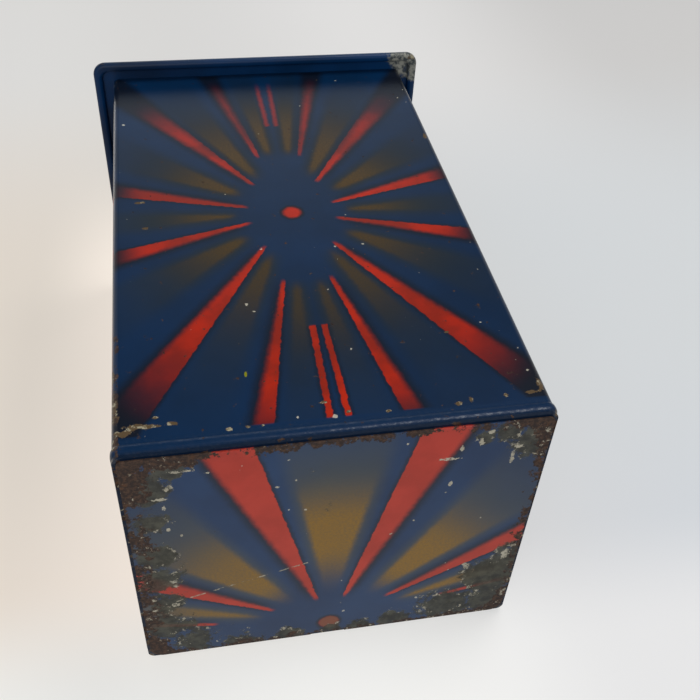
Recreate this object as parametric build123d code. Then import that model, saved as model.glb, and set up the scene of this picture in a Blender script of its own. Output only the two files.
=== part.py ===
from build123d import *
import math
import os

# A tin jack in the box, standing on its bottom plate.
# X is the depth, Y the width and Z the height. The catch is on the -Y wall and the
# lid's hinge on the +Y wall. The origin is the middle of the bottom plate's outer face.

# ---- Box ----
box_height = 146.0
body_width = 85.0
body_depth = 70.0
sheet = 0.5
body_corner_radius = 1.6
bead_height = 3.9
bead_proud = 0.3
bead_radius = 1.7
floor_flange = 4.5
top_hem_height = 4.0
seam_width = 8.0
seam_proud = 0.5
seam_offset = -1.0
plate_inset = 0.7
plate_corner_radius = 1.2
plate_foot_corner_radius = 3.0
plate_notch = 0.8

# ---- Lid ----
lid_sheet = 0.6
lid_overhang = 5.3
lid_rim = 2.4
lid_corner_radius = 3.5
lid_gap = 0.2

# ---- Hinge ----
pin_radius = 0.6
pin_length = 60.0
pin_clearance = 0.05
knuckle_width = 8.0
knuckle_centre = 14.0
knuckle_side_gap = 0.3
leaf_height = 12.0
leaf_width = 44.0
leaf_drop = 4.5
rivet_radius = 1.0
rivet_head_radius = 1.9
rivet_head_height = 0.6

# ---- Catch ----
catch_plate_width = 11.0
catch_plate_height = 17.0
catch_pivot_drop = 28.0
stud_radius = 1.3
stud_shoulder_radius = 2.1
stud_shoulder = 0.8
stud_head_radius = 2.3
stud_head_height = 0.6
hook_thickness = 1.2
hook_wire = 1.3
hook_boss_radius = 2.9
hook_side_gap = 0.15
hook_rest_angle = 3.8
hook_reach_angle = 16.0
hook_tip_angle = 7.0
eye_tab = 0.8
eye_tab_width = 3.6
eye_hole_radius = 1.15
eye_margin = 1.0
eye_foot_length = 9.0
wall_clearance = 0.4

# ---- Jack ----
base_disc_radius = 27.0
base_disc_height = 6.0
spring_radius = 14.0
spring_wire = 1.7
spring_turns = 7
headroom = 3.1
staple_wire = 1.0
staple_leg = 3.0
staple_gap = 0.1
staple_turn = 60.0
neck_disc_radius = 16.0
neck_disc_height = 4.0
dowel_radius = 5.0
dowel_height = 16.0
neck_radius = 9.0
neck_height = 8.0
head_radius = 20.5
head_height = 47.0
nose_radius = 3.4
ear_radius = 4.0
hat_height = 29.0
hat_tip_radius = 3.5
hat_overlap = 16.0
hat_flare = 1.6
bobble_radius = 5.0
tuft_radius = 6.0
cloth = 1.0
cloth_clearance = 0.3
skirt_height = 8.0
waist_radius = 20.5
ruff_radius = 27.0
ruff_height = 3.0
sleeve_shoulder_radius = 4.6
sleeve_cuff_radius = 6.4
sleeve_length = 26.0
arm_clearance = 1.2
hand_radius = 4.6
hand_length = 8.0

# ---- Levels and places that follow from the sizes above ----
half_width = body_width / 2
half_depth = body_depth / 2
lid_underside = box_height - lid_sheet
body_top = lid_underside - lid_gap
lid_width = body_width + 2 * lid_overhang
lid_depth = body_depth + 2 * lid_overhang
rim_bottom = box_height - lid_rim
rim_radius = lid_rim / 2
hinge_y = half_width + lid_overhang - rim_radius
hinge_z = box_height - rim_radius
floor_top = sheet
inner_corner_radius = body_corner_radius - sheet
disc_top = floor_top + base_disc_height
spring_bottom = disc_top + spring_wire / 2
bobble_sink = 0.3 * bobble_radius
# the closed lid presses the jack down until its bobble is one headroom below the lid
bobble_middle = lid_underside - headroom - bobble_radius
hat_top = bobble_middle - bobble_radius + bobble_sink
hat_bottom = hat_top - hat_height
head_crown = hat_bottom + hat_overlap
chin = head_crown - head_height
head_middle = chin + head_height / 2
neck_bottom = chin - neck_height
neck_disc_top = neck_bottom - cloth - 2 * cloth_clearance
neck_disc_bottom = neck_disc_top - neck_disc_height
spring_top = neck_disc_bottom - spring_wire / 2
spring_height = spring_top - spring_bottom
# the arms hang at either side of the body, splayed as far as the box's depth leaves room for
shoulder_reach = waist_radius - sleeve_shoulder_radius
cuff_reach = half_depth - sheet - arm_clearance - sleeve_cuff_radius
sleeve_splay = math.degrees(math.asin((cuff_reach - shoulder_reach) / sleeve_length))


def save(name, *solids):
    """Write one node: a single solid, or a group of like solids."""
    shape = solids[0] if len(solids) == 1 else Compound(children=list(solids))
    shape.label = name
    export_step(shape, f"parts/{name}.step")


def slab(size_x, size_y, radius, low, high):
    """A plate or block with rounded upright corners, between two levels."""
    outline = RectangleRounded(size_x, size_y, radius) if radius > 0 else Rectangle(size_x, size_y)
    return Pos(0, 0, low) * extrude(outline, high - low)


def rod_x(radius, length, y, z, x=0.0):
    """A cylinder along X, centred at the given place."""
    return Pos(x, y, z) * Rot(0, 90, 0) * Cylinder(radius, length)


def rod_y(radius, y_low, y_high, x, z):
    """A cylinder along Y between two places."""
    return Pos(x, (y_low + y_high) / 2, z) * Rot(90, 0, 0) * Cylinder(radius, y_high - y_low)


def turned(points):
    """A solid turned about Z from a closed outline of (radius, height) points."""
    outline = make_face(Polyline(*[(r, 0, z) for r, z in points], close=True))
    return revolve(outline, Axis.Z)


# ------------------------------------------------------------------ the tin box
def body_shell():
    """The wrapped wall sheet: rolled bead below, folded hem above, lock seam on the -X wall."""
    wall = slab(body_depth, body_width, body_corner_radius, sheet, body_top)
    bead_low = sheet
    bead = slab(
        body_depth + 2 * bead_proud,
        body_width + 2 * bead_proud,
        body_corner_radius + bead_proud,
        bead_low,
        bead_low + bead_height,
    )
    rolled = bead.faces().sort_by(Axis.Z)[0].edges() + bead.faces().sort_by(Axis.Z)[-1].edges()
    bead = fillet(rolled, bead_radius)
    seam = Pos(-half_depth - seam_proud / 2, seam_offset, (bead_height + body_top) / 2)
    seam = seam * Box(seam_proud, seam_width, body_top - bead_height)
    seam = chamfer(seam.faces().sort_by(Axis.X)[0].edges().filter_by(Axis.Z), seam_proud * 0.8)
    inside = slab(
        body_depth - 2 * sheet,
        body_width - 2 * sheet,
        inner_corner_radius,
        2 * sheet,
        body_top - top_hem_height,
    )
    mouth = slab(
        body_depth - 4 * sheet,
        body_width - 4 * sheet,
        inner_corner_radius,
        body_top - top_hem_height,
        body_top,
    )
    floor_hole = slab(
        body_depth - 2 * floor_flange,
        body_width - 2 * floor_flange,
        inner_corner_radius,
        sheet,
        2 * sheet,
    )
    return wall + bead + seam - inside - mouth - floor_hole


def bottom_plate():
    """The flat printed plate under the body's turned-in edge, notched for the lock seam's fold."""
    plate_depth = body_depth - 2 * plate_inset
    plate = slab(plate_depth, body_width - 2 * plate_inset, 0, 0, sheet)
    corners = plate.edges().filter_by(Axis.Z).sort_by(Axis.X)
    plate = fillet(corners[:2], plate_foot_corner_radius)
    corners = plate.edges().filter_by(Axis.Z).sort_by(Axis.X)
    plate = fillet(corners[-2:], plate_corner_radius)
    notch = Box(2 * plate_notch, seam_width, 3 * sheet)
    return plate - Pos(-plate_depth / 2, seam_offset, 0) * notch


# ------------------------------------------------------------------ lid and hinge
def knuckle_places():
    return [-knuckle_centre, knuckle_centre]


def lid_plate():
    """The flat lid with its edge rolled under; the +Y roll is bored for the hinge pin."""
    top = slab(lid_depth, lid_width, lid_corner_radius, lid_underside, box_height)
    rim = slab(lid_depth, lid_width, lid_corner_radius, rim_bottom, box_height)
    rim -= slab(
        lid_depth - 2 * lid_rim,
        lid_width - 2 * lid_rim,
        lid_corner_radius - rim_radius,
        rim_bottom,
        lid_underside,
    )
    lid = top + rim
    roll = rim_radius * 0.86
    outer = [e for e in lid.edges() if abs(e.center().Z - box_height) < 0.01]
    lid = fillet(outer, roll)
    lower = [e for e in lid.edges() if abs(e.center().Z - rim_bottom) < 0.01]
    lid = fillet(lower, roll)
    lid -= rod_x(pin_radius + pin_clearance, pin_length + 2 * knuckle_side_gap, hinge_y, hinge_z)
    notch_reach = rim_radius + knuckle_side_gap
    for x in knuckle_places():
        notch = Box(knuckle_width + 2 * knuckle_side_gap, 2 * notch_reach, 3 * lid_rim)
        lid -= Pos(x, hinge_y, hinge_z) * notch
    return lid


def body_hinge_leaf():
    """The strap on the back wall, with two arms that curl round the pin."""
    leaf_top = hinge_z - leaf_drop
    leaf = Pos(0, half_width + sheet / 2, leaf_top - leaf_height / 2) * Box(leaf_width, sheet, leaf_height)
    leaf = fillet(leaf.edges().filter_by(Axis.Y), 2 * rivet_radius)
    wall_y = half_width + sheet / 2
    bend = FilletPolyline(
        (0, wall_y, leaf_top - sheet),
        (0, wall_y, leaf_top + sheet),
        (0, hinge_y, hinge_z - rim_radius + sheet / 2),
        radius=sheet,
    )
    for x in knuckle_places():
        arm = sweep(Plane(bend @ 0, x_dir=(1, 0, 0), z_dir=bend % 0) * Rectangle(knuckle_width, sheet), bend)
        leaf += Pos(x, 0, 0) * arm
        leaf += rod_x(rim_radius, knuckle_width, hinge_y, hinge_z, x)
    leaf -= rod_x(pin_radius, pin_length, hinge_y, hinge_z)
    for x, z in hinge_rivet_places():
        leaf -= rod_y(rivet_radius, half_width, half_width + sheet, x, z)
    return leaf


def hinge_rivet_places():
    z = hinge_z - leaf_drop - leaf_height / 2
    reach = leaf_width / 2 - 2 * rivet_head_radius
    return [(-reach, z), (0, z), (reach, z)]


def rivet(y, x, z, outward, outer_thickness):
    """A domed rivet with its head outside and its tail spread inside the wall."""
    inside = y - outward * sheet
    outside = y + outward * outer_thickness
    shank = rod_y(rivet_radius, min(inside, outside), max(inside, outside), x, z)
    head_end = outside + outward * rivet_head_height
    head = rod_y(rivet_head_radius, min(outside, head_end), max(outside, head_end), x, z)
    rounded = head.faces().sort_by(Axis.Y)[-1 if outward > 0 else 0].edges()
    head = fillet(rounded, rivet_head_height * 0.8)
    tail_end = inside - outward * rivet_head_height
    tail = rod_y(rivet_head_radius, min(inside, tail_end), max(inside, tail_end), x, z)
    return shank + head + tail


# ------------------------------------------------------------------ the catch on the front wall
front_y = -half_width
catch_pivot_z = body_top - catch_pivot_drop
stud_base_y = front_y - sheet
hook_inner_y = stud_base_y - stud_shoulder - hook_side_gap
hook_outer_y = hook_inner_y - hook_thickness
hook_y = (hook_inner_y + hook_outer_y) / 2
stud_head_inner_y = hook_outer_y - hook_side_gap
eye_z = rim_bottom - eye_hole_radius - eye_margin - wall_clearance
hook_radius = eye_z - catch_pivot_z


def catch_rivet_places():
    z_reach = catch_plate_height / 2 - 1.3 * rivet_head_radius
    return [(0, catch_pivot_z - z_reach), (0, catch_pivot_z + z_reach)]


def catch_plate():
    plate = Pos(0, front_y - sheet / 2, catch_pivot_z) * Box(catch_plate_width, sheet, catch_plate_height)
    plate = fillet(plate.edges().filter_by(Axis.Y), catch_plate_width / 4)
    for x, z in catch_rivet_places():
        plate -= rod_y(rivet_radius, front_y - sheet, front_y, x, z)
    return plate


def catch_stud():
    """The shouldered pin that the hook turns on."""
    shoulder_end = stud_base_y - stud_shoulder
    shoulder = rod_y(stud_shoulder_radius, shoulder_end, stud_base_y, 0, catch_pivot_z)
    neck = rod_y(stud_radius, stud_head_inner_y, shoulder_end, 0, catch_pivot_z)
    head_end = stud_head_inner_y - stud_head_height
    head = rod_y(stud_head_radius, head_end, stud_head_inner_y, 0, catch_pivot_z)
    head = fillet(head.faces().sort_by(Axis.Y)[0].edges(), stud_head_height * 0.8)
    return shoulder + neck + head


def hook_point(radius, angle):
    """A point about the pivot: angle is from straight down, towards +X."""
    turn = math.radians(angle)
    return (radius * math.sin(turn), -radius * math.cos(turn))


def catch_hook():
    """The flat hook, hanging. Its tip is bent round the pivot's own arc."""
    shank_angle = -hook_rest_angle
    tip_angle = shank_angle + hook_reach_angle + hook_tip_angle
    half_wire = hook_wire / 2
    inner = hook_radius - half_wire
    outer = hook_radius + half_wire
    boss = Circle(hook_boss_radius)
    arm_middle = hook_point(hook_radius / 2, shank_angle)
    arm = Pos(*arm_middle) * Rot(0, 0, shank_angle) * Rectangle(hook_wire * 1.6, hook_radius)
    middle_angle = (shank_angle + tip_angle) / 2
    start_out = hook_point(outer, shank_angle)
    end_out = hook_point(outer, tip_angle)
    end_in = hook_point(inner, tip_angle)
    start_in = hook_point(inner, shank_angle)
    tip_outline = [
        ThreePointArc(start_out, hook_point(outer, middle_angle), end_out),
        ThreePointArc(end_out, hook_point(hook_radius, tip_angle + 1.4), end_in),
        ThreePointArc(end_in, hook_point(inner, middle_angle), start_in),
        Line(start_in, start_out),
    ]
    flat = boss + arm + make_face(tip_outline) - Circle(stud_radius + pin_clearance)
    blank = extrude(flat, hook_thickness)
    return Pos(0, hook_inner_y, catch_pivot_z) * Rot(90, 0, 0) * blank


def catch_eye():
    """The tab under the lid's front edge, with the hole that the hook's tip enters."""
    inner_y = front_y - wall_clearance
    tab_bottom = eye_z - eye_hole_radius - eye_margin
    tab = Box(eye_tab, eye_tab_width, rim_bottom - wall_clearance - tab_bottom)
    tab = Pos(0, hook_y, (rim_bottom - wall_clearance + tab_bottom) / 2) * tab
    tab = fillet(tab.edges().filter_by(Axis.X), eye_margin * 0.9)
    rim_inner_y = front_y - lid_overhang + lid_rim
    stem_width = inner_y - rim_inner_y - wall_clearance
    stem_y = (inner_y + rim_inner_y + wall_clearance) / 2
    stem = Box(eye_tab, stem_width, lid_underside - eye_z - eye_hole_radius)
    stem = Pos(0, stem_y, (lid_underside + eye_z + eye_hole_radius) / 2) * stem
    foot = Pos(0, stem_y, lid_underside - sheet / 2) * Box(eye_foot_length, stem_width, sheet)
    return tab + stem + foot - rod_x(eye_hole_radius, 2 * eye_tab, hook_y, eye_z)


# ------------------------------------------------------------------ the jack
def staple_angles(direction):
    """Three places on an end coil, on the side where the next coil has risen clear of it."""
    return [180.0 + direction * i * staple_turn for i in range(3)]


def base_disc():
    disc = Pos(0, 0, floor_top + base_disc_height / 2) * Cylinder(base_disc_radius, base_disc_height)
    return fillet(disc.faces().sort_by(Axis.Z)[-1].edges(), staple_wire / 2)


def staple(angle, level, upward):
    """A wire staple over the spring's end coil, driven into the disc below or above it."""
    span = spring_wire + staple_wire + 2 * staple_gap
    reach = spring_wire + staple_gap + staple_wire / 2
    sign = 1 if upward else -1
    bridge_z = level + sign * reach
    leg_end = level - sign * staple_leg
    leg_height = abs(bridge_z - leg_end)
    parts = []
    for side in (-span / 2, span / 2):
        leg = Pos(spring_radius + side, 0, (bridge_z + leg_end) / 2) * Cylinder(staple_wire / 2, leg_height)
        parts.append(leg)
    bridge = rod_x(staple_wire / 2, span + staple_wire, 0, bridge_z, spring_radius)
    return Rot(0, 0, angle) * (parts[0] + parts[1] + bridge)


def spring():
    """The steel coil spring, pressed down under the closed lid, with flat end coils."""
    pitch = spring_height / spring_turns
    path = Helix(pitch=pitch, height=spring_height, radius=spring_radius)
    start = Plane(origin=path @ 0, z_dir=path % 0)
    coil = sweep(start * Circle(spring_wire / 2), path, is_frenet=True)
    rings = [Pos(0, 0, z) * Torus(spring_radius, spring_wire / 2) for z in (0, spring_height)]
    return Pos(0, 0, spring_bottom) * (coil + rings[0] + rings[1])


def neck_disc():
    disc = Pos(0, 0, (neck_disc_bottom + neck_disc_top) / 2) * Cylinder(neck_disc_radius, neck_disc_height)
    return fillet(disc.faces().sort_by(Axis.Z)[-1].edges(), staple_wire / 2)


def neck_dowel():
    return Pos(0, 0, neck_disc_top + dowel_height / 2) * Cylinder(dowel_radius, dowel_height)


def costume_outline(grow):
    """The cloth's profile as (radius, height) points, grown outwards by a thickness."""
    hem = base_disc_radius + cloth_clearance + grow
    waist = waist_radius + grow
    shoulder = neck_disc_radius + cloth_clearance + grow
    throat = neck_radius + cloth_clearance
    return [
        (hem, floor_top + cloth_clearance),
        (hem, floor_top + skirt_height),
        (waist, floor_top + 1.8 * skirt_height),
        (waist, neck_disc_bottom - skirt_height),
        (shoulder, neck_disc_top + cloth_clearance + grow),
        (throat, neck_disc_top + cloth_clearance + grow),
    ]


def costume():
    """The cloth sleeve from the base disc's edge up to the neck."""
    outside = costume_outline(cloth)
    inside = costume_outline(0.0)
    return turned(outside + inside[::-1])


def costume_envelope():
    outside = costume_outline(cloth + cloth_clearance)
    return turned([(0, outside[0][1])] + outside + [(0, outside[-1][1])])


def collar_ruff():
    low = neck_bottom + cloth_clearance
    return turned([
        (neck_radius + cloth_clearance, low),
        (ruff_radius, low + ruff_height * 0.4),
        (ruff_radius, low + ruff_height * 0.4 + cloth),
        (neck_radius + cloth_clearance, low + ruff_height),
    ])


def skull(grow=0.0):
    """The head's plain form: an egg, widest below the middle, on a short neck."""
    low = chin - grow
    high = head_crown + grow
    height = high - low
    widest = head_radius + grow
    side = Spline(
        (0, 0, low),
        (widest * 0.62, 0, low + 0.12 * height),
        (widest, 0, low + 0.42 * height),
        (widest * 0.72, 0, low + 0.86 * height),
        (0, 0, high),
        tangents=[(1, 0, 0), (-1, 0, 0)],
    )
    egg = revolve(make_face([side, Line((0, 0, high), (0, 0, low))]), Axis.Z)
    neck_top = chin + head_height / 4
    neck = Pos(0, 0, (neck_bottom + neck_top) / 2) * Cylinder(neck_radius, neck_top - neck_bottom)
    return egg + neck


def head_with_ears(grow=0.0):
    whole = skull(grow)
    for side in (-1, 1):
        ear = Sphere(ear_radius + grow)
        whole += Pos(side * head_radius * 0.97, 0, head_middle - ear_radius) * ear
    return whole


def head():
    return head_with_ears() - nose_ball() - neck_dowel()


def nose_ball():
    return Pos(0, -head_radius - nose_radius * 0.35, head_middle - nose_radius) * Sphere(nose_radius)


def hat_cone():
    """The felt cap's outer form: a soft cone over the crown with a turned-out edge."""
    brim = head_radius + cloth + hat_flare
    edge_top = hat_bottom + 2 * cloth
    side = Spline(
        (head_radius + cloth, 0, edge_top),
        (head_radius * 0.97, 0, hat_bottom + 0.55 * hat_overlap),
        (head_radius * 0.6, 0, hat_bottom + 1.15 * hat_overlap),
        (hat_tip_radius, 0, hat_top),
    )
    rest = Polyline(
        (hat_tip_radius, 0, hat_top),
        (0, 0, hat_top),
        (0, 0, hat_bottom),
        (brim, 0, hat_bottom),
        (brim, 0, hat_bottom + cloth),
        (head_radius + cloth, 0, edge_top),
    )
    return revolve(make_face([side, rest]), Axis.Z)


def bobble_ball():
    return Pos(0, 0, bobble_middle) * Sphere(bobble_radius)


def tuft_ball(side):
    place = Pos(side * head_radius * 0.86, head_radius * 0.42, hat_bottom - tuft_radius * 0.7)
    return place * Sphere(tuft_radius)


def tuft(side):
    return tuft_ball(side) - head_with_ears(cloth_clearance) - hat_cone()


def shoulder_place(side):
    """The frame of one arm: its origin at the shoulder and its Z down the arm."""
    shoulder = Pos(side * shoulder_reach, 0, neck_disc_top - sleeve_shoulder_radius)
    return shoulder * Rot(0, side * (180 - sleeve_splay), 0)


def sleeve(side):
    arm = Pos(0, 0, sleeve_length / 2) * Cone(sleeve_shoulder_radius, sleeve_cuff_radius, sleeve_length)
    return shoulder_place(side) * arm - costume_envelope()


def hand(side):
    palm = Pos(0, 0, hand_length / 2) * Cylinder(hand_radius, hand_length)
    palm = fillet(palm.faces().sort_by(Axis.Z)[-1].edges(), hand_radius * 0.9)
    return shoulder_place(side) * Pos(0, 0, sleeve_length) * palm


def with_rivets(solid, rivets):
    for one in rivets:
        solid -= one
    return solid


os.makedirs("parts", exist_ok=True)

hinge_rivets = [rivet(half_width, x, z, 1, sheet) for x, z in hinge_rivet_places()]
catch_rivets = [rivet(front_y, x, z, -1, sheet) for x, z in catch_rivet_places()]
base_staples = [staple(angle, disc_top, True) for angle in staple_angles(1)]
neck_staples = [staple(angle, neck_disc_bottom, False) for angle in staple_angles(-1)]

save("body_shell", with_rivets(body_shell(), hinge_rivets + catch_rivets))
save("bottom_plate", bottom_plate())
save("lid_plate", lid_plate())
save("body_hinge_leaf", body_hinge_leaf())
save("hinge_pin", rod_x(pin_radius, pin_length, hinge_y, hinge_z))
save("hinge_rivets", *hinge_rivets)
save("catch_plate", catch_plate())
save("catch_rivets", *catch_rivets)
save("catch_stud", catch_stud())
save("catch_hook", catch_hook())
save("catch_eye", catch_eye())
save("base_disc", with_rivets(base_disc(), base_staples))
save("base_staples", *base_staples)
save("spring", spring())
save("neck_staples", *neck_staples)
save("neck_disc", with_rivets(neck_disc(), neck_staples))
save("neck_dowel", neck_dowel())
save("costume", costume())
save("collar_ruff", collar_ruff())
save("head", head())
save("nose", nose_ball())
save("hat", hat_cone() - skull(cloth_clearance))
save("hat_bobble", bobble_ball() - hat_cone())
save("left_hair", tuft(1))
save("right_hair", tuft(-1))
save("left_sleeve", sleeve(1))
save("right_sleeve", sleeve(-1))
save("left_hand", hand(1))
save("right_hand", hand(-1))
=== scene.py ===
"""Looks for the tin jack in the box: printed and worn tinplate, steel and brass fittings, and the
cloth, felt and painted wood of the jack inside. Lengths are metres unless a comment says mm."""
import bpy
import bmesh
import math
import random
from mathutils import Matrix, Vector, noise


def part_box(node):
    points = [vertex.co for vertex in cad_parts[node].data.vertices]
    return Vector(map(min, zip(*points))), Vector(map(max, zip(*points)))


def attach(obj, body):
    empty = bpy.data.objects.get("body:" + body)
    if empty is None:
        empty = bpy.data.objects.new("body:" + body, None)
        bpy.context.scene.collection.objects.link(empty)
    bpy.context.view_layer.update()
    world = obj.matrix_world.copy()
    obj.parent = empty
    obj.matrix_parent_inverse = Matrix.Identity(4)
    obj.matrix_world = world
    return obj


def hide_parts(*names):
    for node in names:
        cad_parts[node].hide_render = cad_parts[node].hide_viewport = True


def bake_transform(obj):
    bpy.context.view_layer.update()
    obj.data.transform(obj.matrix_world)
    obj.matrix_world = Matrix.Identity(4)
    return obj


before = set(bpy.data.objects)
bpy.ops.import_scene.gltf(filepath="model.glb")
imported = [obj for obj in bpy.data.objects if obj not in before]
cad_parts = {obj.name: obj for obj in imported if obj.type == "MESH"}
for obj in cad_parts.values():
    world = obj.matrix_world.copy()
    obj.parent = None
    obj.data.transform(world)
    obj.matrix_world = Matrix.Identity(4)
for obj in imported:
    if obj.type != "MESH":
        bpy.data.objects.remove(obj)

MM = 0.001
TURN = 2 * math.pi
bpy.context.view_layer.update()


# ---------------- shader maths as expressions
def maths(operation, swapped=False):
    """A method that adds a Math node for an operator."""
    def apply(self, *others):
        values = (*others, self) if swapped else (self, *others)
        return self.paint.node("ShaderNodeMath", {"operation": operation}, dict(enumerate(values)))
    return apply


class Wire:
    """A socket that can be used in Python arithmetic: each operator adds its Math node."""

    def __init__(self, paint, socket):
        self.paint = paint
        self.socket = socket

    __add__ = maths("ADD")
    __radd__ = maths("ADD", swapped=True)
    __sub__ = maths("SUBTRACT")
    __rsub__ = maths("SUBTRACT", swapped=True)
    __mul__ = maths("MULTIPLY")
    __rmul__ = maths("MULTIPLY", swapped=True)
    __truediv__ = maths("DIVIDE")
    __pow__ = maths("POWER")
    __abs__ = maths("ABSOLUTE")
    below = maths("MINIMUM")
    above = maths("MAXIMUM")
    angle_with = maths("ARCTAN2")
    sine = maths("SINE")
    root = maths("SQRT")


class Paint:
    """One material: its Principled shader, the nodes in front of it, and the colour laid so far."""

    def __init__(self, name, **constants):
        self.material = bpy.data.materials.new(name)
        self.material.use_nodes = True
        self.tree = self.material.node_tree
        self.shader = self.tree.nodes["Principled BSDF"]
        for socket, value in constants.items():
            self.shader.inputs[socket.replace("_", " ")].default_value = value
        self.place = self.node("ShaderNodeTexCoord", output="Object")
        self.colour = None

    def node(self, kind, settings=None, values=None, output=0):
        """Add a node: its settings first, then its sockets' values or links."""
        made = self.tree.nodes.new(kind)
        for key, value in (settings or {}).items():
            setattr(made, key, value)
        for key, value in (values or {}).items():
            if isinstance(value, Wire):
                self.tree.links.new(value.socket, made.inputs[key])
            else:
                made.inputs[key].default_value = value
        return Wire(self, made.outputs[output])

    def link(self, wire, socket):
        self.tree.links.new(wire.socket, self.shader.inputs[socket])

    def split(self, vector):
        return [self.node("ShaderNodeSeparateXYZ", {}, {0: vector}, output=i) for i in range(3)]

    def vector_maths(self, operation, first, second, output=0):
        settings = {"operation": operation}
        return self.node("ShaderNodeVectorMath", settings, {0: first, 1: second}, output)

    def noise(self, scale, detail=4, roughness=0.55, at=None, distortion=0, output="Fac"):
        """Grain of about 1/scale metres, from 0 to 1."""
        values = {"Vector": at or self.place, "Scale": scale, "Detail": detail}
        values.update({"Roughness": roughness, "Distortion": distortion})
        return self.node("ShaderNodeTexNoise", {}, values, output)

    def step(self, value, low, high):
        """0 below low, 1 above high and smooth between; low may be the larger."""
        settings = {"interpolation_type": "SMOOTHSTEP", "clamp": True}
        values = {"Value": value, "From Min": low, "From Max": high}
        if low > high:
            values = {"Value": value, "From Min": high, "From Max": low, "To Min": 1, "To Max": 0}
        return self.node("ShaderNodeMapRange", settings, values)

    def mm_step(self, value, low, high):
        """The same step, with its limits in millimetres."""
        return self.step(value, low * MM, high * MM)

    def near_edge(self, value, edge, outer, inner):
        """0 at outer mm within an edge, and 1 at inner mm within it."""
        return self.step(value, edge - outer * MM, edge - inner * MM)

    def ball(self, x, y, z, radius):
        """1 at a place, falling smoothly to 0 at a radius in mm."""
        offset = self.vector_maths("SUBTRACT", self.place, (x, y, z))
        length = self.node("ShaderNodeVectorMath", {"operation": "LENGTH"}, {0: offset}, output=1)
        return self.mm_step(length, radius, 0)

    def patches(self, low, high, *grain):
        """Patches where the noise of that grain is past low, whole from high on."""
        return self.step(self.noise(*grain), low, high)

    def mix(self, factor, first, second):
        """Blend two colours (tuples or wires)."""
        values = {"Factor": factor, 6: first, 7: second}
        return self.node("ShaderNodeMix", {"data_type": "RGBA"}, values, output=2)

    def ramp(self, value, low, high, first, second):
        """The first colour where the value is at low, and the second where it is at high."""
        return self.mix(self.step(value, low, high), first, second)

    def lay(self, mask, colour):
        """Lay a colour over the ones before it, where the mask is 1."""
        self.colour = self.mix(mask, self.colour, colour)

    def shifted(self, amount, scale, detail=2):
        """The place moved about by a noise, to make edges ragged."""
        push = self.noise(scale, detail, 0.5, output="Color")
        push = self.vector_maths("SUBTRACT", push, (0.5, 0.5, 0.5))
        push = self.node("ShaderNodeVectorMath", {"operation": "SCALE"}, {0: push, "Scale": amount})
        return self.vector_maths("ADD", self.place, push)

    def done(self, height, depth, strength, roughness=None):
        """Link the colour, a bump and, where it varies, the roughness; give the material."""
        self.link(self.colour, "Base Color")
        if roughness is not None:
            self.link(roughness, "Roughness")
        values = {"Height": height, "Distance": depth, "Strength": strength}
        self.link(self.node("ShaderNodeBump", {}, values), "Normal")
        return self.material


def rgb(red, green, blue):
    """A colour from 0-255 display values, as linear light."""
    def linear(value):
        value /= 255
        return value / 12.92 if value <= 0.04045 else ((value + 0.055) / 1.055) ** 2.4
    return (linear(red), linear(green), linear(blue), 1)


def highest(found, more):
    """The larger of two masks, where the first may be missing."""
    return more if found is None else found.above(more)


# ---------------- sizes read from the frame
body_low, body_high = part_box("body_shell")
plate_low, plate_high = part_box("bottom_plate")
lid_low, lid_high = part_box("lid_plate")
BEAD_PROUD = 0.3 * MM  # how far the foot's rolled bead stands out of the walls
BEAD_TOP = 5  # its top, in mm
half_depth = body_high.x - BEAD_PROUD
half_width = body_high.y - BEAD_PROUD
burst_height = lid_high.z / 2

BLUE = rgb(3, 36, 69)
BLUE_DEEP = rgb(2, 30, 58)
PLATE_BLUE = rgb(28, 56, 92)
PLATE_BLUE_DEEP = rgb(21, 45, 78)
RED = rgb(168, 32, 4)
RED_DEEP = rgb(112, 26, 12)
PLATE_RED = rgb(177, 56, 42)
GOLD = rgb(74, 52, 8)
PLATE_GOLD = rgb(130, 96, 30)
OLIVE = rgb(30, 35, 28)
OLIVE_DARK = rgb(16, 20, 15)
GREY_SPRAY = rgb(66, 70, 68)
RUST = rgb(38, 27, 24)
RUST_PALE = rgb(74, 54, 42)
RUST_ORANGE = rgb(96, 62, 36)
CREAM = rgb(206, 200, 182)
BLACK = rgb(10, 13, 20)

# the stencil, in degrees and mm. A red ray is (angle, start, half angle, soft side, fade start,
# fade end); a gold one is (angle, start, half angle, blunt half width, fade in, fade start, fade end)
WALL_REDS = [(18.4, 10.8, 3.5, 1, 34, 50), (57.3, 15, 3.6, -1, 47, 76), (77.8, 26, 2.1, -1, 58, 76)]
WALL_GOLDS = [
    (0, 12, 6, 0.9, 16, 17, 36), (37, 13, 8, 1.2, 18, 20, 44), (67, 15, 5.5, 1, 22, 28, 58),
    (84.5, 25, 3.2, 1.2, 30, 36, 62),
]
PLATE_REDS = [(18.4, 10.5, 4.6, 1, 60, 96), (57.3, 15, 3.8, -1, 50, 92), (77.8, 26, 1.2, -1, 34, 46)]
PLATE_GOLDS = [
    (0, 11, 10, 1.5, 31, 38, 56), (41, 12, 10, 1.2, 24, 32, 54), (69.5, 15, 5, 0.6, 22, 26, 50),
]
LID_GOLDS = [(0, 11, 9, 1.2, 20, 22, 42), (41, 12, 9.5, 1.2, 20, 26, 46)]
RED_BLUNT = 0.75
BAR_START, BAR_FADE, BAR_END = 41, 58, 67
BAR_HALF_WIDTH, BAR_ASIDE, BAR_SPLAY = 0.75, 1.25, 0.02
DOT_RADIUS = 2.7
PLATE_BURST = (-29.6 * MM, -0.8 * MM, 0)

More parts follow.
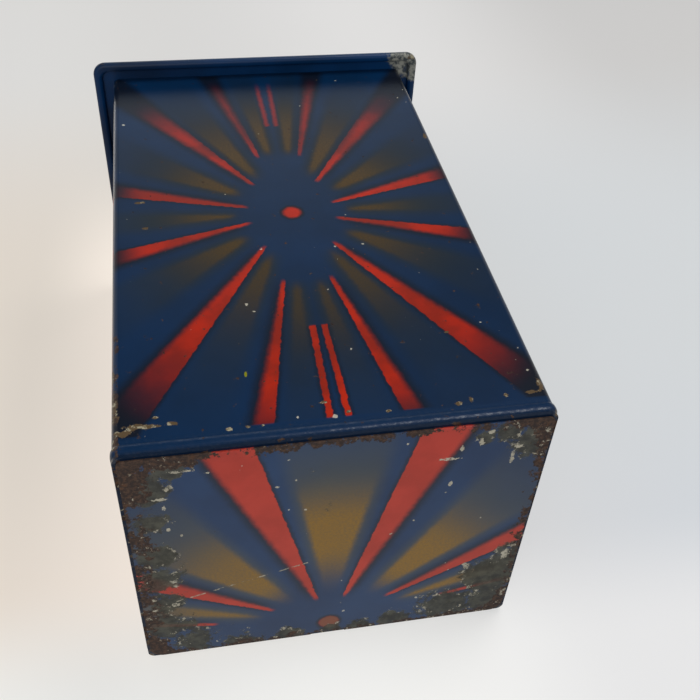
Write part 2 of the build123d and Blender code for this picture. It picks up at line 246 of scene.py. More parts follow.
# worn places, in mm: on the +X wall as (y, z, half width, half height), bare grey on the plate as
# (x, y, radius), and cream flakes of primer on the plate as (y, x, half width, half height)
WALL_CHIPS = [
    (-37, 7.6, 3.6, 0.75), (-31.4, 7.7, 1.4, 0.5), (-40.4, 6.4, 1.6, 0.9), (-34.4, 9.6, 0.5, 0.35),
    (-21, 4.9, 0.6, 0.5), (-17.4, 5, 0.45, 0.3), (-14.6, 5, 0.35, 0.3), (-2.6, 9.4, 0.7, 0.5),
    (1.8, 6.4, 0.5, 0.35), (9.6, 5.4, 0.5, 0.35), (23.4, 5.6, 0.7, 0.5), (26.2, 6.4, 0.6, 0.7),
    (33.4, 6.4, 0.5, 0.6), (38.8, 6.8, 2, 0.45), (41.2, 8.6, 0.6, 2), (-41.9, 3.6, 0.8, 1.4),
    (26.4, 26, 0.6, 0.4), (-34.8, 70.2, 0.7, 0.6), (-35.9, 81, 1.3, 0.5), (41, 105.2, 0.6, 1.4),
    (-42.3, 22, 0.5, 2), (-42, 14.5, 0.9, 3.2), (-41.7, 10.4, 0.8, 1.4),
]
YELLOW_FLECKS = [(-16.5, 18.7, 0.35, 0.9)]
PLATE_BARE = [
    (26, -37, 9), (31, -33, 6), (15, -37, 7), (4, -37, 8), (-4, -37, 8), (-13, -37, 8), (-22, -37, 10),
    (-31, -32, 10), (-34, -20, 9), (-33.5, -10, 7), (-33, 0, 5), (27, 38, 9), (31, 33, 5), (30.5, 28, 4),
    (-20, 37, 15), (-28, 38, 13), (-29, 27, 13), (-12, 41, 10), (-33, 15, 8), (-34, 6, 7),
]
PLATE_FLAKES = [
    (39, -10.5, 1, 1.9), (-34.8, -14.2, 1.1, 0.8), (-33.6, 25.4, 0.5, 1), (-35, 22.6, 1.6, 0.4),
    (21.6, 25.2, 2, 0.45), (23.6, 28.2, 0.5, 0.9), (27.4, 29.6, 0.7, 1.1), (29, 32, 0.8, 0.5),
    (34.6, 23.6, 0.5, 1.6), (35.6, 26.8, 0.9, 0.5), (-34.4, 20, 0.35, 0.7), (-34.2, 13, 0.4, 0.6),
    (-31.8, 10.6, 0.3, 0.5), (-30.6, 30.2, 2.2, 0.4), (-12.6, 22.4, 0.5, 0.3), (-9, 24, 0.3, 0.3),
    (12.4, 31, 0.3, 0.3), (-25.6, 29, 0.5, 0.3), (22.6, 17.4, 0.4, 0.9), (22, 14.6, 0.3, 0.3),
    (16, 6.2, 0.35, 0.3), (30, -13, 1.2, 0.6), (11.4, 2.4, 0.4, 0.3),
]


# ---------------- printed tin
def ray_inside(u, v, angle, start, half_angle, blunt):
    """How far a place is along a ray, to the side of its middle line, and inside its edges. The ray
    starts to one side of the centre and opens outwards."""
    turn = math.radians(angle)
    ahead = u * math.cos(turn) + v * math.sin(turn) - start * MM
    aside = v * math.cos(turn) - u * math.sin(turn)
    return ahead, aside, ahead * math.tan(math.radians(half_angle)) + blunt * MM - abs(aside)


def sunburst(paint, across, along, golds, reds, side_reach=None, upper_fade=0):
    """The stencilled rays about a centre: across and along are metres from it.

    The stencil repeats in its four quarters. Returns the masks (red, gold, dark, veil), where dark
    is the soft sprayed edge beside each ray, and veil the grey overspray round the gold rays. Red
    dies away towards side_reach, and upper_fade is how much paler it is in the upper half."""
    u, v = abs(across), abs(along)
    reach = (u * u + v * v).root()
    upper = paint.mm_step(along, 8, 52) * upper_fade
    margin = paint.mm_step(u, side_reach, side_reach - 9) if side_reach else 1
    red = gold = dark = veil = None
    for angle, start, half_angle, soft_side, fade_start, fade_end in reds:
        ahead, aside, inside = ray_inside(u, v, angle, start, half_angle, RED_BLUNT)
        fade = paint.mm_step(reach, fade_end, fade_start) * (1 - upper * 0.32) * margin
        fade = fade * (1 - upper * paint.mm_step(reach, fade_start * 0.8, fade_end * 0.95))
        soft = paint.mm_step(aside * soft_side, -0.2, 0.6).above(upper)
        crisp_edge = paint.mm_step(inside, 0, 0.3)
        soft_width = 1.9 * MM + upper * 0.9 * MM
        soft_edge = paint.step((inside + upper * 0.35 * MM) / soft_width, 0, 1)
        ray = crisp_edge + (soft_edge - crisp_edge) * soft
        red = highest(red, ray * paint.mm_step(ahead, -0.6, 1.6) * fade)
        spray = paint.step(inside / (1.1 * MM + MM * soft), -1, 0.4)
        dark = highest(dark, spray * paint.mm_step(ahead, -2, 6))
    # two bars beside the middle line: they die away in the upper half, and run on in the lower
    off_line = abs(u - BAR_ASIDE * MM - (v - BAR_START * MM) * BAR_SPLAY)
    inside = BAR_HALF_WIDTH * MM - upper * 0.22 * MM - off_line
    end = paint.mm_step(v, BAR_END, BAR_FADE).above(paint.mm_step(along, 0, -10))
    length = paint.mm_step(v, BAR_START, BAR_START + 0.6) * end * (1 - upper * 0.5)
    edge = (inside + 0.05 * MM + upper * 0.5 * MM) / (0.3 * MM + upper * 0.9 * MM)
    red = red.above(paint.step(edge, 0, 1) * length)
    dark = dark.above(paint.mm_step(inside, -1, 0.2) * length * 0.8)
    in_dot = DOT_RADIUS * MM - reach
    red = red.above(paint.mm_step(in_dot, 0, 1.2))
    dark = dark.above(paint.mm_step(in_dot, -0.9, 0.3))
    for angle, start, half_angle, blunt, fade_in, fade_start, fade_end in golds:
        inside = ray_inside(u, v, angle, start, half_angle, blunt)[2]
        begun = paint.mm_step(reach, start, fade_in)
        fade = paint.mm_step(reach, fade_end, fade_start) * begun
        gold = highest(gold, paint.mm_step(inside, -0.4, 1.4) * fade)
        spray_fade = paint.mm_step(reach, fade_end + 24, fade_start) * begun
        veil = highest(veil, paint.mm_step(inside, -2.8, 1.8) * spray_fade)
    return red, gold, dark, veil


def lay_print(paint, masks, gold_colour, gold_strength, veil_colour, red_colour=RED, red_shade=0.3):
    """Lay the sprayed colours over the base blue."""
    red, gold, dark, veil = masks
    cloud = paint.noise(70)
    paint.lay(veil * (0.7 + 0.6 * cloud), veil_colour)
    paint.lay(dark * (0.7 + 0.3 * cloud), BLACK)
    grain = 0.52 + 0.35 * cloud + 0.4 * paint.patches(0.32, 0.68, 1800, 3, 0.7)
    paint.lay(gold * gold_strength * grain, gold_colour)
    paint.lay(red, paint.mix(paint.step(cloud, 0.62, 0.38) * red_shade, red_colour, RED_DEEP))


def wear_tin(paint, chip, rust, bare, rough_paint, primer=None):
    """Finish printed tin under its masks: chips, rust, bare grey metal and flakes of pale primer."""
    grain = paint.noise(1100, 5, 0.7)
    blotch = paint.noise(300, 4, 0.6)
    paint.lay(bare, paint.ramp(blotch + grain * 0.4, 0.55, 0.9, rgb(48, 47, 40), rgb(78, 77, 66)))
    paint.lay(chip, paint.ramp(grain + blotch, 1.02, 1.16, rgb(84, 68, 48), rgb(150, 142, 120)))
    brown = paint.ramp(grain, 0.42, 0.64, RUST, RUST_PALE)
    brown = paint.mix(paint.step(blotch, 0.58, 0.72) * 0.5, brown, RUST_ORANGE)
    pale = paint.patches(0.66, 0.7, 700, 3, 0.6)
    paint.lay(rust, paint.mix(pale * 0.7, brown, rgb(134, 124, 106)))
    if primer is not None:
        paint.lay(primer * paint.step(grain, 0.34, 0.52), paint.mix(blotch, rgb(120, 112, 92), CREAM))
    # pin-prick specks, larger in some places than others
    cells = {"Vector": paint.shifted(0.9 * MM, 1500), "Scale": 300}
    specks = paint.node("ShaderNodeTexVoronoi", {}, cells, output="Distance")
    swell = paint.noise(90, 3)
    paint.lay(paint.step(specks + (0.6 - swell) * 0.9, 0.075, 0.03) * 0.6, CREAM)
    lost = chip.above(rust).above(bare)
    height = (1 - lost) * 0.7 + grain * rust * 0.6 + swell * 0.5
    return paint.done(height, 0.1 * MM, 0.55, rough_paint + lost * 0.35 + grain * 0.06)


def chip_spots(paint, across, along, spots):
    """Ragged patches at given places: each is (across, along, half width, half height) in mm."""
    ragged = paint.noise(850, 5, 0.7) * 3.4 - 1.75
    found = None
    for at_across, at_along, wide, tall in spots:
        reach_u = (across - at_across * MM) / (wide * MM)
        reach_v = (along - at_along * MM) / (tall * MM)
        found = highest(found, 1 - (reach_u * reach_u + reach_v * reach_v).root())
    return paint.step(found + ragged, 0, 0.15) * paint.step(found, -0.7, -0.3)


def blue_base(paint, deep=BLUE_DEEP, light=BLUE):
    paint.colour = paint.ramp(paint.noise(45, 5), 0.3, 0.7, deep, light)


def blue_tin():
    """Glossy printed tin of the walls: a sunburst on each wall, worn along bead and edges."""
    paint = Paint("printed_tin", Specular_IOR_Level=0.1, Coat_Roughness=0.16)
    x, y, z = paint.split(paint.place)
    ragged_x, ragged_y, ragged_z = paint.split(paint.shifted(0.8 * MM, 750, 3))
    on_side = paint.near_edge(abs(x), half_depth, 0.9, 0.6)
    raised = ragged_z - burst_height
    across = ragged_x + (ragged_y - ragged_x) * on_side
    red, gold, dark, veil = sunburst(paint, across, raised, WALL_GOLDS, WALL_REDS, 43.5, 1)
    higher = paint.mm_step(raised, -80, 15)
    masks = (red, gold * (0.35 + 0.65 * gold) * higher, dark, veil * (0.45 + 0.55 * higher))
    bead = paint.mm_step(z, BEAD_TOP, BEAD_TOP - 0.6)
    blue_base(paint)
    paint.lay(bead * 0.8, rgb(0, 34, 66))
    # painted shade on the lowest 2 mm of the bead, where it turns under towards the plate
    paint.lay(paint.mm_step(z, 2, 0.9) * 0.6, rgb(8, 12, 18))
    plain = paint.colour
    olive = paint.mix(paint.mm_step(raised, -10, 40), OLIVE, OLIVE_DARK)
    lay_print(paint, masks, GOLD, 0.9, olive, red_shade=0.75)
    fleck = chip_spots(paint, y, z, YELLOW_FLECKS) * on_side
    paint.lay(fleck * paint.mm_step(x, 0, 1), rgb(120, 120, 14))
    wall = paint.mm_step(z, BEAD_TOP, BEAD_TOP + 0.6) * paint.near_edge(z, body_high.z, 0, 1)
    paint.colour = paint.mix(wall, plain, paint.colour)
    # the rounded upright corners, and the lacquered inside of the tin
    bend = 1.6 * MM
    from_x = (abs(x) - (half_depth - bend)).above(0)
    from_y = (abs(y) - (half_width - bend)).above(0)
    from_middle = (from_x * from_x + from_y * from_y).root()
    corner = paint.mm_step(from_x, 0.1, 0.5) * paint.mm_step(from_y, 0.1, 0.5)
    sparkle = paint.patches(0.46, 0.62, 1400, 4, 0.7) * 0.26
    paint.link((bead * sparkle).above(corner * 0.55), "Coat Weight")
    inside = paint.near_edge(from_middle, bend, 0.2, 0.3) * paint.mm_step(z, 0.6, 0.8)
    paint.lay(inside, paint.mix(paint.noise(250, 5), rgb(122, 112, 92), rgb(158, 148, 124)))
    # wear: chips along the bead, a rubbed strip up the -Y edge, and bare corners
    front = paint.near_edge(x, half_depth, 2, 1)
    ragged = paint.noise(330, 5, 0.65)
    strip = paint.mm_step(abs(y + half_width - 0.9 * MM), 1.1, 0.2) * paint.mm_step(z, 48, 28)
    strip = paint.step(ragged + strip * 0.27 * front, 0.72, 0.77)
    edge = paint.near_edge(abs(x), half_depth, 1.4, 0.1)
    edge = edge * paint.near_edge(abs(y), half_width, 1.4, 0.1)
    feet = edge * paint.mm_step(z, 16, 2)
    # the other walls are rubbed along the foot, under the lid and up their edges
    low_band = paint.mm_step(z, 11, 1) * 0.17
    high_band = paint.near_edge(z, body_high.z, 9, 0) * 0.13
    rubbed = (low_band + high_band + edge * 0.12) * (1 - front)
    chip = chip_spots(paint, y, z, WALL_CHIPS) * front
    chip = chip.above(paint.step(ragged + feet * 0.2 + edge * 0.05 + rubbed, 0.74, 0.77))
    foot_line = paint.mm_step(z, 1.7, 0.7) * paint.patches(0.5, 0.6, 130, 4, 0.6)
    rust = paint.step(paint.noise(520, 5, 0.6) + foot_line * 0.25, 0.66, 0.72).above(strip * 0.9)
    bare = paint.step(ragged + feet * 0.2, 0.84, 0.88)
    return wear_tin(paint, chip * (1 - inside), rust, bare, 0.3)


def lid_tin():
    """The lid: plain blue below and on its roll, the stencil on top, rubbed at the corners."""
    paint = Paint("printed_lid", Specular_IOR_Level=0.15)
    x, y, z = paint.split(paint.place)
    ragged_x, ragged_y, _ = paint.split(paint.shifted(0.45 * MM, 1200))
    top = paint.near_edge(z, lid_high.z, 0.25, 0.1)
    masks = sunburst(paint, ragged_x, ragged_y, LID_GOLDS, PLATE_REDS)
    blue_base(paint, rgb(2, 33, 64), rgb(5, 43, 82))
    # darker in patches towards the lid's -Y end
    dark_patches = paint.step(y, 8 * MM, lid_low.y) * paint.patches(0.3, 0.6, 60)
    paint.lay(dark_patches * 0.55, rgb(20, 20, 20))
    plain = paint.colour
    lay_print(paint, masks, PLATE_GOLD, 0.8, GREY_SPRAY)
    paint.colour = paint.mix(top, plain, paint.colour)
    corner = paint.near_edge(abs(x), lid_high.x, 9, 0)
    corner = corner * paint.near_edge(abs(y), lid_high.y, 9, 0)
    rim = paint.near_edge(abs(x), lid_high.x, 1.2, 0.2)
    rim = rim.above(paint.near_edge(abs(y), lid_high.y, 1.2, 0.2))
    chips = paint.noise(240, 5, 0.65)
    far_corner = paint.ball(*lid_high, 16)
    streaks = paint.ramp(paint.noise(520, 4, 0.7), 0.4, 0.6, rgb(52, 58, 62), rgb(134, 134, 126))
    paint.lay(paint.step(far_corner * 0.9 + chips, 0.84, 0.98), streaks)
    worn = chips + corner * 0.1 + rim * (0.03 + 0.07 * top)
    rust = paint.step(paint.noise(420, 5, 0.6) + corner * 0.08, 0.74, 0.8)
    bare = paint.step(worn, 0.74, 0.84)
    return wear_tin(paint, paint.step(worn, 0.72, 0.76) * 0.8, rust, bare, 0.32)


def base_tin():
    """The printed plate: the same stencil turned a quarter, rusted in from its edges."""
    paint = Paint("printed_plate", Specular_IOR_Level=0.33)
    x, y, z = paint.split(paint.place)
    ragged_x, ragged_y, _ = paint.split(paint.shifted(0.7 * MM, 800))
    burst_x, burst_y, _ = PLATE_BURST
    red, gold, dark, veil = sunburst(paint, ragged_x - burst_x, ragged_y - burst_y, PLATE_GOLDS, PLATE_REDS)
    gold = gold * (0.5 + 0.5 * gold) * (1 - 0.18 * paint.mm_step(y, -9, -26))
    blue_base(paint, PLATE_BLUE_DEEP, PLATE_BLUE)
    lay_print(paint, (red, gold, dark, veil), PLATE_GOLD, 1, GREY_SPRAY, PLATE_RED)
    rusted_dot = paint.ball(*PLATE_BURST, 4.6) + paint.noise(90) * 0.3
    paint.lay(paint.step(rusted_dot, 0.62, 0.78) * 0.9, rgb(112, 66, 44))
    # rust creeps in from each edge, furthest at -Y and at the corners
    coarse = paint.noise(120, 6, 0.68)
    fine = paint.noise(480, 5, 0.68)
    creep = paint.mm_step(y - plate_low.y, 9.5, 1)
    creep = creep.above(paint.mm_step(plate_high.y - y, 5.5, 0) * 0.95)
    creep = creep.above(paint.mm_step(plate_high.x - x, 4.6, 0))
    creep = creep.above(paint.mm_step(x - plate_low.x, 5.5, 0) * 0.95)
    corner = paint.ball(plate_high.x, plate_low.y, 0, 19)
    corner = corner.above(paint.ball(plate_high.x, plate_high.y, 0, 11))
    corner = corner.above(paint.ball(plate_low.x, plate_low.y, 0, 10))
    corner = corner.above(paint.ball(plate_low.x, plate_high.y, 0, 12))
    rust = paint.step(coarse * 0.7 + fine * 0.45 + creep * 0.28 + corner * 0.24, 0.79, 0.84)
    # bare patches lie just inside the rust, with flakes of primer clinging along their edges
    bare = None
    for at_x, at_y, radius in PLATE_BARE:
        bare = highest(bare, paint.ball(at_x * MM, at_y * MM, 0, radius))
    eaten = bare * 0.32 + paint.noise(105, 9, 0.8, at=paint.shifted(4 * MM, 160))
    bare = paint.step(eaten, 0.63, 0.7) * (0.8 + 0.25 * fine)
    cling = paint.step(abs(eaten - 0.69), 0.05, 0.02) * paint.step(fine, 0.55, 0.6)
    cling = cling * paint.step(coarse, 0.46, 0.52)
    # one long faint scratch of dots, which leans a little from +Y towards +X
    from_x, from_y = x + 13 * MM, y + 35 * MM
    lean_cos, lean_sin, half_length = 0.958, 0.287, 16
    ahead = from_y * lean_cos + from_x * lean_sin
    aside = from_x * lean_cos - from_y * lean_sin
    scratch = paint.mm_step(abs(aside), 0.26, 0.12)
    scratch = scratch * paint.mm_step(abs(ahead - half_length * MM), half_length, half_length - 1)
    scratch = scratch * paint.patches(0.5, 0.56, 480, 2)
    primer = chip_spots(paint, y, x, PLATE_FLAKES).above(cling).above(scratch * 0.75)
    return wear_tin(paint, scratch * 0.4, rust, bare, 0.36, primer)


def metal(name, base, dark, rough):
    """Dull metal, rusted or tarnished in spots."""
    paint = Paint(name)
    grain = paint.noise(400, 5, 0.6)
    spots = paint.patches(0.55, 0.68, 220, 5, 0.7)
    paint.colour = paint.mix(grain, dark, base)
    paint.lay(spots * 0.7, RUST)
    paint.link(1 - spots * 0.8, "Metallic")
    return paint.done(grain, 0.05 * MM, 0.4, rough + grain * 0.2 + spots * 0.3)


# ---------------- helpers for the jack's pieces
def clamped(value, low=0, high=1):
    return min(max(value, low), high)


def polar(radius, turn, z):
    return Vector((radius * math.cos(turn), radius * math.sin(turn), z))


def ripple(turn, spread, level):
    """A smooth noise that joins up round a turn; a larger spread gives finer ripples."""
    return noise.noise(polar(spread, turn, level))


def rings_of(rows, count, point):
    """Rings of points: point(t, turn) at each t from 0 to 1, and at turns evenly all round."""
    return [[point(i / rows, TURN * j / count) for j in range(count)] for i in range(rows + 1)]


def side_name(side):
    return "left" if side > 0 else "right"


def added(name, data):
    """An object for a mesh, lamp or camera."""
    made = bpy.data.objects.new(name, data)
    bpy.context.collection.objects.link(made)
    return made


def smooth(name, mesh):
    """A smooth-shaded object from a mesh."""
    mesh.polygons.foreach_set("use_smooth", [True] * len(mesh.polygons))
    return added(name, mesh)


def skin(name, rings, cap_start=False, cap_end=False):
    """A mesh over rings of points: each ring is joined to the next."""
    count = len(rings[0])
    faces = []
    for first in range(0, (len(rings) - 1) * count, count):
        for j in range(count):
            a, b = first + j, first + (j + 1) % count
            faces.append((a, b, b + count, a + count))
    if cap_start:
        faces.append(tuple(range(count))[::-1])
    if cap_end:
        first = (len(rings) - 1) * count
        faces.append(tuple(range(first, first + count)))
    mesh = bpy.data.meshes.new(name)
    mesh.from_pydata([p for ring in rings for p in ring], [], faces)
    return smooth(name, mesh)


def joined(name, pieces):
    """One piece from several."""
    made = bmesh.new()
    for piece in pieces:
        made.from_mesh(piece.data)
        bpy.data.objects.remove(piece)
    mesh = bpy.data.meshes.new(name)
    made.to_mesh(mesh)
    made.free()
    return smooth(name, mesh)


def tube(name, line, radius, sides=8, taper=None):
    """A round tube along a line of points, with closed ends."""
    rings = []
    last = len(line) - 1
    side = None
    for i, point in enumerate(line):
        ahead = (line[min(i + 1, last)] - line[max(i - 1, 0)]).normalized()
        if side is None:
            side = ahead.orthogonal().normalized()
        side = (side - ahead * side.dot(ahead)).normalized()
        other = ahead.cross(side)
        r = radius * (taper(i / last) if taper else 1)
        turns = [TURN * k / sides for k in range(sides)]
        rings.append([point + (side * math.cos(t) + other * math.sin(t)) * r for t in turns])
    return skin(name, rings, cap_start=True, cap_end=True)


def between(table, t):
    """A smooth value at t from a table of (t, value) pairs."""
    for (t0, v0), (t1, v1) in zip(table, table[1:]):
        if t <= t1:
            s = clamped((t - t0) / (t1 - t0))
            return v0 + (v1 - v0) * s * s * (3 - 2 * s)
    return table[-1][1]


def through(table, t):
    """A value at t on a smooth curve through (t, value) points."""
    last = len(table) - 2
    i = 0
    while i < last and t > table[i + 1][0]:
        i += 1
    (t0, v0), (t1, v1) = table[i], table[i + 1]
    before, after = table[max(i - 1, 0)], table[min(i + 2, last + 1)]
    rise = (v1 - before[1]) / (t1 - before[0]) * (t1 - t0)
    fall = (after[1] - v0) / (after[0] - t0) * (t1 - t0)
    s = clamped((t - t0) / (t1 - t0))
    line = (2 * s ** 3 - 3 * s ** 2 + 1) * v0 + (3 * s ** 2 - 2 * s ** 3) * v1
    return line + (s ** 3 - 2 * s ** 2 + s) * rise + (s ** 3 - s ** 2) * fall


# ---------------- spring and costume
SPRING_WIRE = 0.85 * MM
SPRING_TURNS = 7
STEPS_PER_TURN = 40
COSTUME_FLUTES = 26
COSTUME_TIERS = 17
COSTUME_MIDDLE = [(0.2, 21 * MM), (0.8, 20.4 * MM), (0.92, 18.4 * MM)]
FLUTE_DEPTH = [(0, 0.05), (0.08, 0.15), (0.2, 0.9), (0.5, 1), (0.85, 0.8), (1, 0.3)]
LEAST_COSTUME, LEAST_HEM = 16.2 * MM, 27.4 * MM  # clear of the spring, and of the base disc
THROAT = 9.4 * MM
TACKS = 12
TACK_RADIUS, TACK_RISE, TACK_HEIGHT = 1.3 * MM, 0.35 * MM, 4.2 * MM


def spring_coil():
    """The coil spring's wire, with a flat closing turn at each end."""
    low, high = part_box("spring")
    radius = (high.x - low.x) / 2 - SPRING_WIRE
    start, end = low.z + SPRING_WIRE, high.z - SPRING_WIRE
    steps = SPRING_TURNS * STEPS_PER_TURN
    line = []
    for i in range(-STEPS_PER_TURN, steps + STEPS_PER_TURN + 1):
        z = start + (end - start) * clamped(i / steps)
        line.append(polar(radius, TURN * i / STEPS_PER_TURN, z))
    # the closing turns spiral inwards, so that they lie beside the coil
    for i in range(STEPS_PER_TURN):
        draw = 1 - (2.1 * SPRING_WIRE / radius) * (1 - i / STEPS_PER_TURN) ** 0.5
        for place in (line[i], line[-1 - i]):
            place.x *= draw
            place.y *= draw
    return tube("spring_coil", line, SPRING_WIRE, 10)


def costume_cloth():
    """The tube of cloth round the spring, gathered at both ends, its slack bunched in tiers."""
    low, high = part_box("costume")
    hem = high.x - 0.4 * MM
    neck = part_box("neck_disc")[1].x
    start, length = low.z + 0.2 * MM, high.z - low.z - 0.6 * MM
    profile = [(0, hem), (0.1, hem - 0.4 * MM)] + COSTUME_MIDDLE
    profile += [(0.985, neck + 0.6 * MM), (1, neck - 0.6 * MM)]

    def point(t, turn):
        slack = math.sin(math.pi * clamped((t - 0.13) / 0.8)) ** 0.4
        sway = ripple(turn, 1.6, t * 3)
        crumple = ripple(turn, 3.4, t * 9 + 5)
        flute = math.sin(turn * COSTUME_FLUTES + 2.2 * sway)
        phase = math.pi * (t * COSTUME_TIERS + 0.22 * math.sin(3 * turn) + 0.5 * sway)
        tier = 2 * math.sqrt(math.sin(phase) ** 2 + 0.015) - 1.1
        r = between(profile, t) - 0.7 * MM + between(FLUTE_DEPTH, t) * MM * 0.7 * flute
        r += (2 + 0.7 * crumple) * MM * slack * tier
        if t > 0.2:
            r = max(r, LEAST_COSTUME)
        else:
            r = min(max(r, LEAST_HEM) if t < 0.1 else r, high.x)
        drop = (0.75 * math.cos(2 * phase) + 0.5 * crumple) * MM * slack
        return polar(r, turn, start + length * t + drop)

    rings = rings_of(11 * COSTUME_TIERS, 8 * COSTUME_FLUTES, point)
    # over the neck disc the cloth runs in to the throat
    shoulder = rings[-1]
    for k in range(1, 7):
        ring = []
        for j, edge in enumerate(shoulder):
            turn = TURN * j / len(shoulder)
            from_middle = math.hypot(edge.x, edge.y)
            r = from_middle + (THROAT - from_middle) * k / 6
            lift = 0.12 * MM * math.sin(turn * COSTUME_FLUTES) * math.sin(math.pi * k / 6)
            ring.append(polar(r, turn, high.z - 0.3 * MM - abs(lift)))
        rings.append(ring)
    return skin("costume_cloth", rings)


def hem_tacks():
    """Round tack heads that hold the hem to the disc's edge."""
    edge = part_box("costume")[1].x - 0.25 * MM
    tacks = []
    for k in range(TACKS):
        turn = math.radians(15) + TURN * k / TACKS
        centre = polar(edge, turn, TACK_HEIGHT)
        out, side = polar(1, turn, 0), polar(1, turn + TURN / 4, 0)

        def point(t, round_turn):
            r = TACK_RADIUS * math.cos(t * TURN / 4) + 0.02 * MM
            rise = TACK_RISE * math.sin(t * TURN / 4) - 0.1 * MM
            up = Vector((0, 0, r * math.sin(round_turn)))
            return centre + out * rise + side * r * math.cos(round_turn) + up

        tacks.append(skin("tack", rings_of(4, 14, point), cap_start=True, cap_end=True))
    return joined("hem_tacks", tacks)


# ---------------- ruff, sleeves and hands
RUFF_FOLDS = 22
RUFF_HEIGHT = 67.3 * MM
SLEEVE_LENGTH, CUFF_RADIUS, CUFF_FOLDS = 26 * MM, 6.4 * MM, 11
SLEEVE_RADIUS = [(0, 2), (0.07, 4.3), (0.45, 6.1), (0.72, 6.2), (0.86, 4.5), (1, 5.9)]
SLEEVE_WAVES = [(0, 0.35), (0.3, 0.45), (0.7, 0.35), (0.86, 0.18), (1, 0.45)]
WRIST = 24.6 * MM
HAND_LENGTH = 9.2 * MM
HAND_WIDEST, WIDEST_AT = 4.3 * MM, 0.62
HAND_WIDTH = [(0, 2.9 * MM), (0.25, 3.3 * MM), (WIDEST_AT, HAND_WIDEST)]
THUMB_RADIUS = 1.55 * MM
HAND_STITCHES = 26
STITCH_RADIUS = 0.13 * MM


def pleated_ruff():
    """A stiff gathered collar: flat at the neck and waved at its edge."""
    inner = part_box("neck_dowel")[1].x + 4.4 * MM
    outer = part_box("collar_ruff")[1].x - 0.2 * MM

    def point(t, turn):
        sway = ripple(turn, 2, 4)
        wave = math.sin(turn * RUFF_FOLDS + 1.4 * sway)
        shrink = 1 - 0.035 * (0.5 + 0.5 * wave) - 0.03 * abs(sway)
        r = inner + (outer - inner) * t * shrink
        z = RUFF_HEIGHT + 1.2 * MM * t + wave * MM * (0.25 + 1.95 * t ** 0.8) - 0.5 * MM * t * t * sway
        return polar(r, turn + 0.045 * math.cos(turn * RUFF_FOLDS) * t, z)

    return skin("pleated_ruff", rings_of(16, RUFF_FOLDS * 14, point))


def arm_frame(side):
    """The shoulder's place and the directions down the arm, outwards and across it."""
    low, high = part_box(side_name(side) + "_sleeve")
    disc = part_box("neck_disc")[1]
    start = Vector((disc.x - 0.1 * MM, 0, disc.z - 4.6 * MM))
    # the sleeve is a cone: its splay follows from its outward reach, its length and its cuff's radius
    reach = (high.x if side > 0 else -low.x) - start.x
    slant = math.hypot(SLEEVE_LENGTH, CUFF_RADIUS)
    splay = math.asin(reach / slant) - math.atan2(CUFF_RADIUS, SLEEVE_LENGTH)
    shoulder = Vector((side * start.x, 0, start.z))
    down = Vector((side * math.sin(splay), 0, -math.cos(splay)))
    out = Vector((side * math.cos(splay), 0, math.sin(splay)))
    return shoulder, down, out, Vector((0, 1, 0))


def puff_sleeve(side):
    """A short gathered sleeve with a frilled cuff."""
    shoulder, down, out, across = arm_frame(side)

    def point(t, turn):
        # the first part lies inside the body's cloth, so the sleeve begins at its surface
        set_in = 1.9 * max(1 - t / 0.1, 0)
        centre = shoulder + down * (SLEEVE_LENGTH * (0.13 + 0.87 * t))
        centre += out * (0.6 * (1 - t) - set_in) * MM
        sway = ripple(turn, 1, t * 4 + 9 * side)
        fold = math.sin(turn * CUFF_FOLDS + 2.5 * sway + 0.8 * side)
        r = (between(SLEEVE_RADIUS, t) + between(SLEEVE_WAVES, t) * fold + 0.3 * sway) * MM
        bunch = 0.35 * MM * math.sin(TURN * (t * 5 + 0.2 * math.sin(2 * turn)))
        r += bunch * math.sin(math.pi * t)
        return centre + (out * math.cos(turn) + across * math.sin(turn)) * r

    return skin(side_name(side) + "_sleeve_cloth", rings_of(44, 120, point))


def hand_width(t):
    """The mitten's half width from wrist (0) to tip (1)."""
    if t <= WIDEST_AT:
        return between(HAND_WIDTH, t)
    return HAND_WIDEST * math.sqrt(max(1 - ((t - WIDEST_AT) / (1 - WIDEST_AT)) ** 2, 0.01))


def felt_hand(side):
    """A stuffed felt mitten with a thumb and a seam round its edge."""
    shoulder, down, out, across = arm_frame(side)
    wrist = shoulder + down * WRIST

    def point(t, turn):
        width = hand_width(t)
        thick = width * (0.62 + max(0.3 - t, 0))
        x = width * abs(math.cos(turn)) ** 0.9 * math.copysign(1, math.cos(turn))
        y = thick * math.sin(turn)
        x -= math.copysign(0.12 * MM * math.exp(-((y / MM) ** 2) / 0.05), x)
        return wrist + down * (HAND_LENGTH * t) + across * x + out * y

    def rounded_end(t):
        return math.sqrt(max(1 - max(t - 0.55, 0) ** 2 / 0.2075, 0.02))

    palm = skin("palm", rings_of(22, 40, point), cap_start=True, cap_end=True)
    root = wrist + down * 3.4 * MM - across * 3 * MM
    line = [root + (down * 0.75 - across * 0.66) * (k * 0.65 * MM) for k in range(-1, 6)]
    thumb = tube("thumb", line, THUMB_RADIUS, 16, rounded_end)
    return joined(side_name(side) + "_felt_hand", [palm, thumb])


def hand_stitches(side):
    """Overcast thread stitches along the mitten's edge."""
    shoulder, down, out, across = arm_frame(side)
    middle = (HAND_STITCHES - 1) / 2
    stitches = []
    for k in range(HAND_STITCHES):
        t = clamped(1 - 0.64 * abs(k - middle) / middle, 0.36, 0.985)
        edge = across if k > middle else -across
        place = shoulder + down * (WRIST + HAND_LENGTH * t) + edge * (hand_width(t) - 0.08 * MM)
        line = []
        for s in (-1, -0.5, 0, 0.5, 1):
            line.append(place + (out * 0.75 + down * 0.16) * MM * s - edge * 0.34 * MM * s * s)
        stitches.append(tube("stitch", line, STITCH_RADIUS, 6))
    return joined(side_name(side) + "_hand_stitches", stitches)


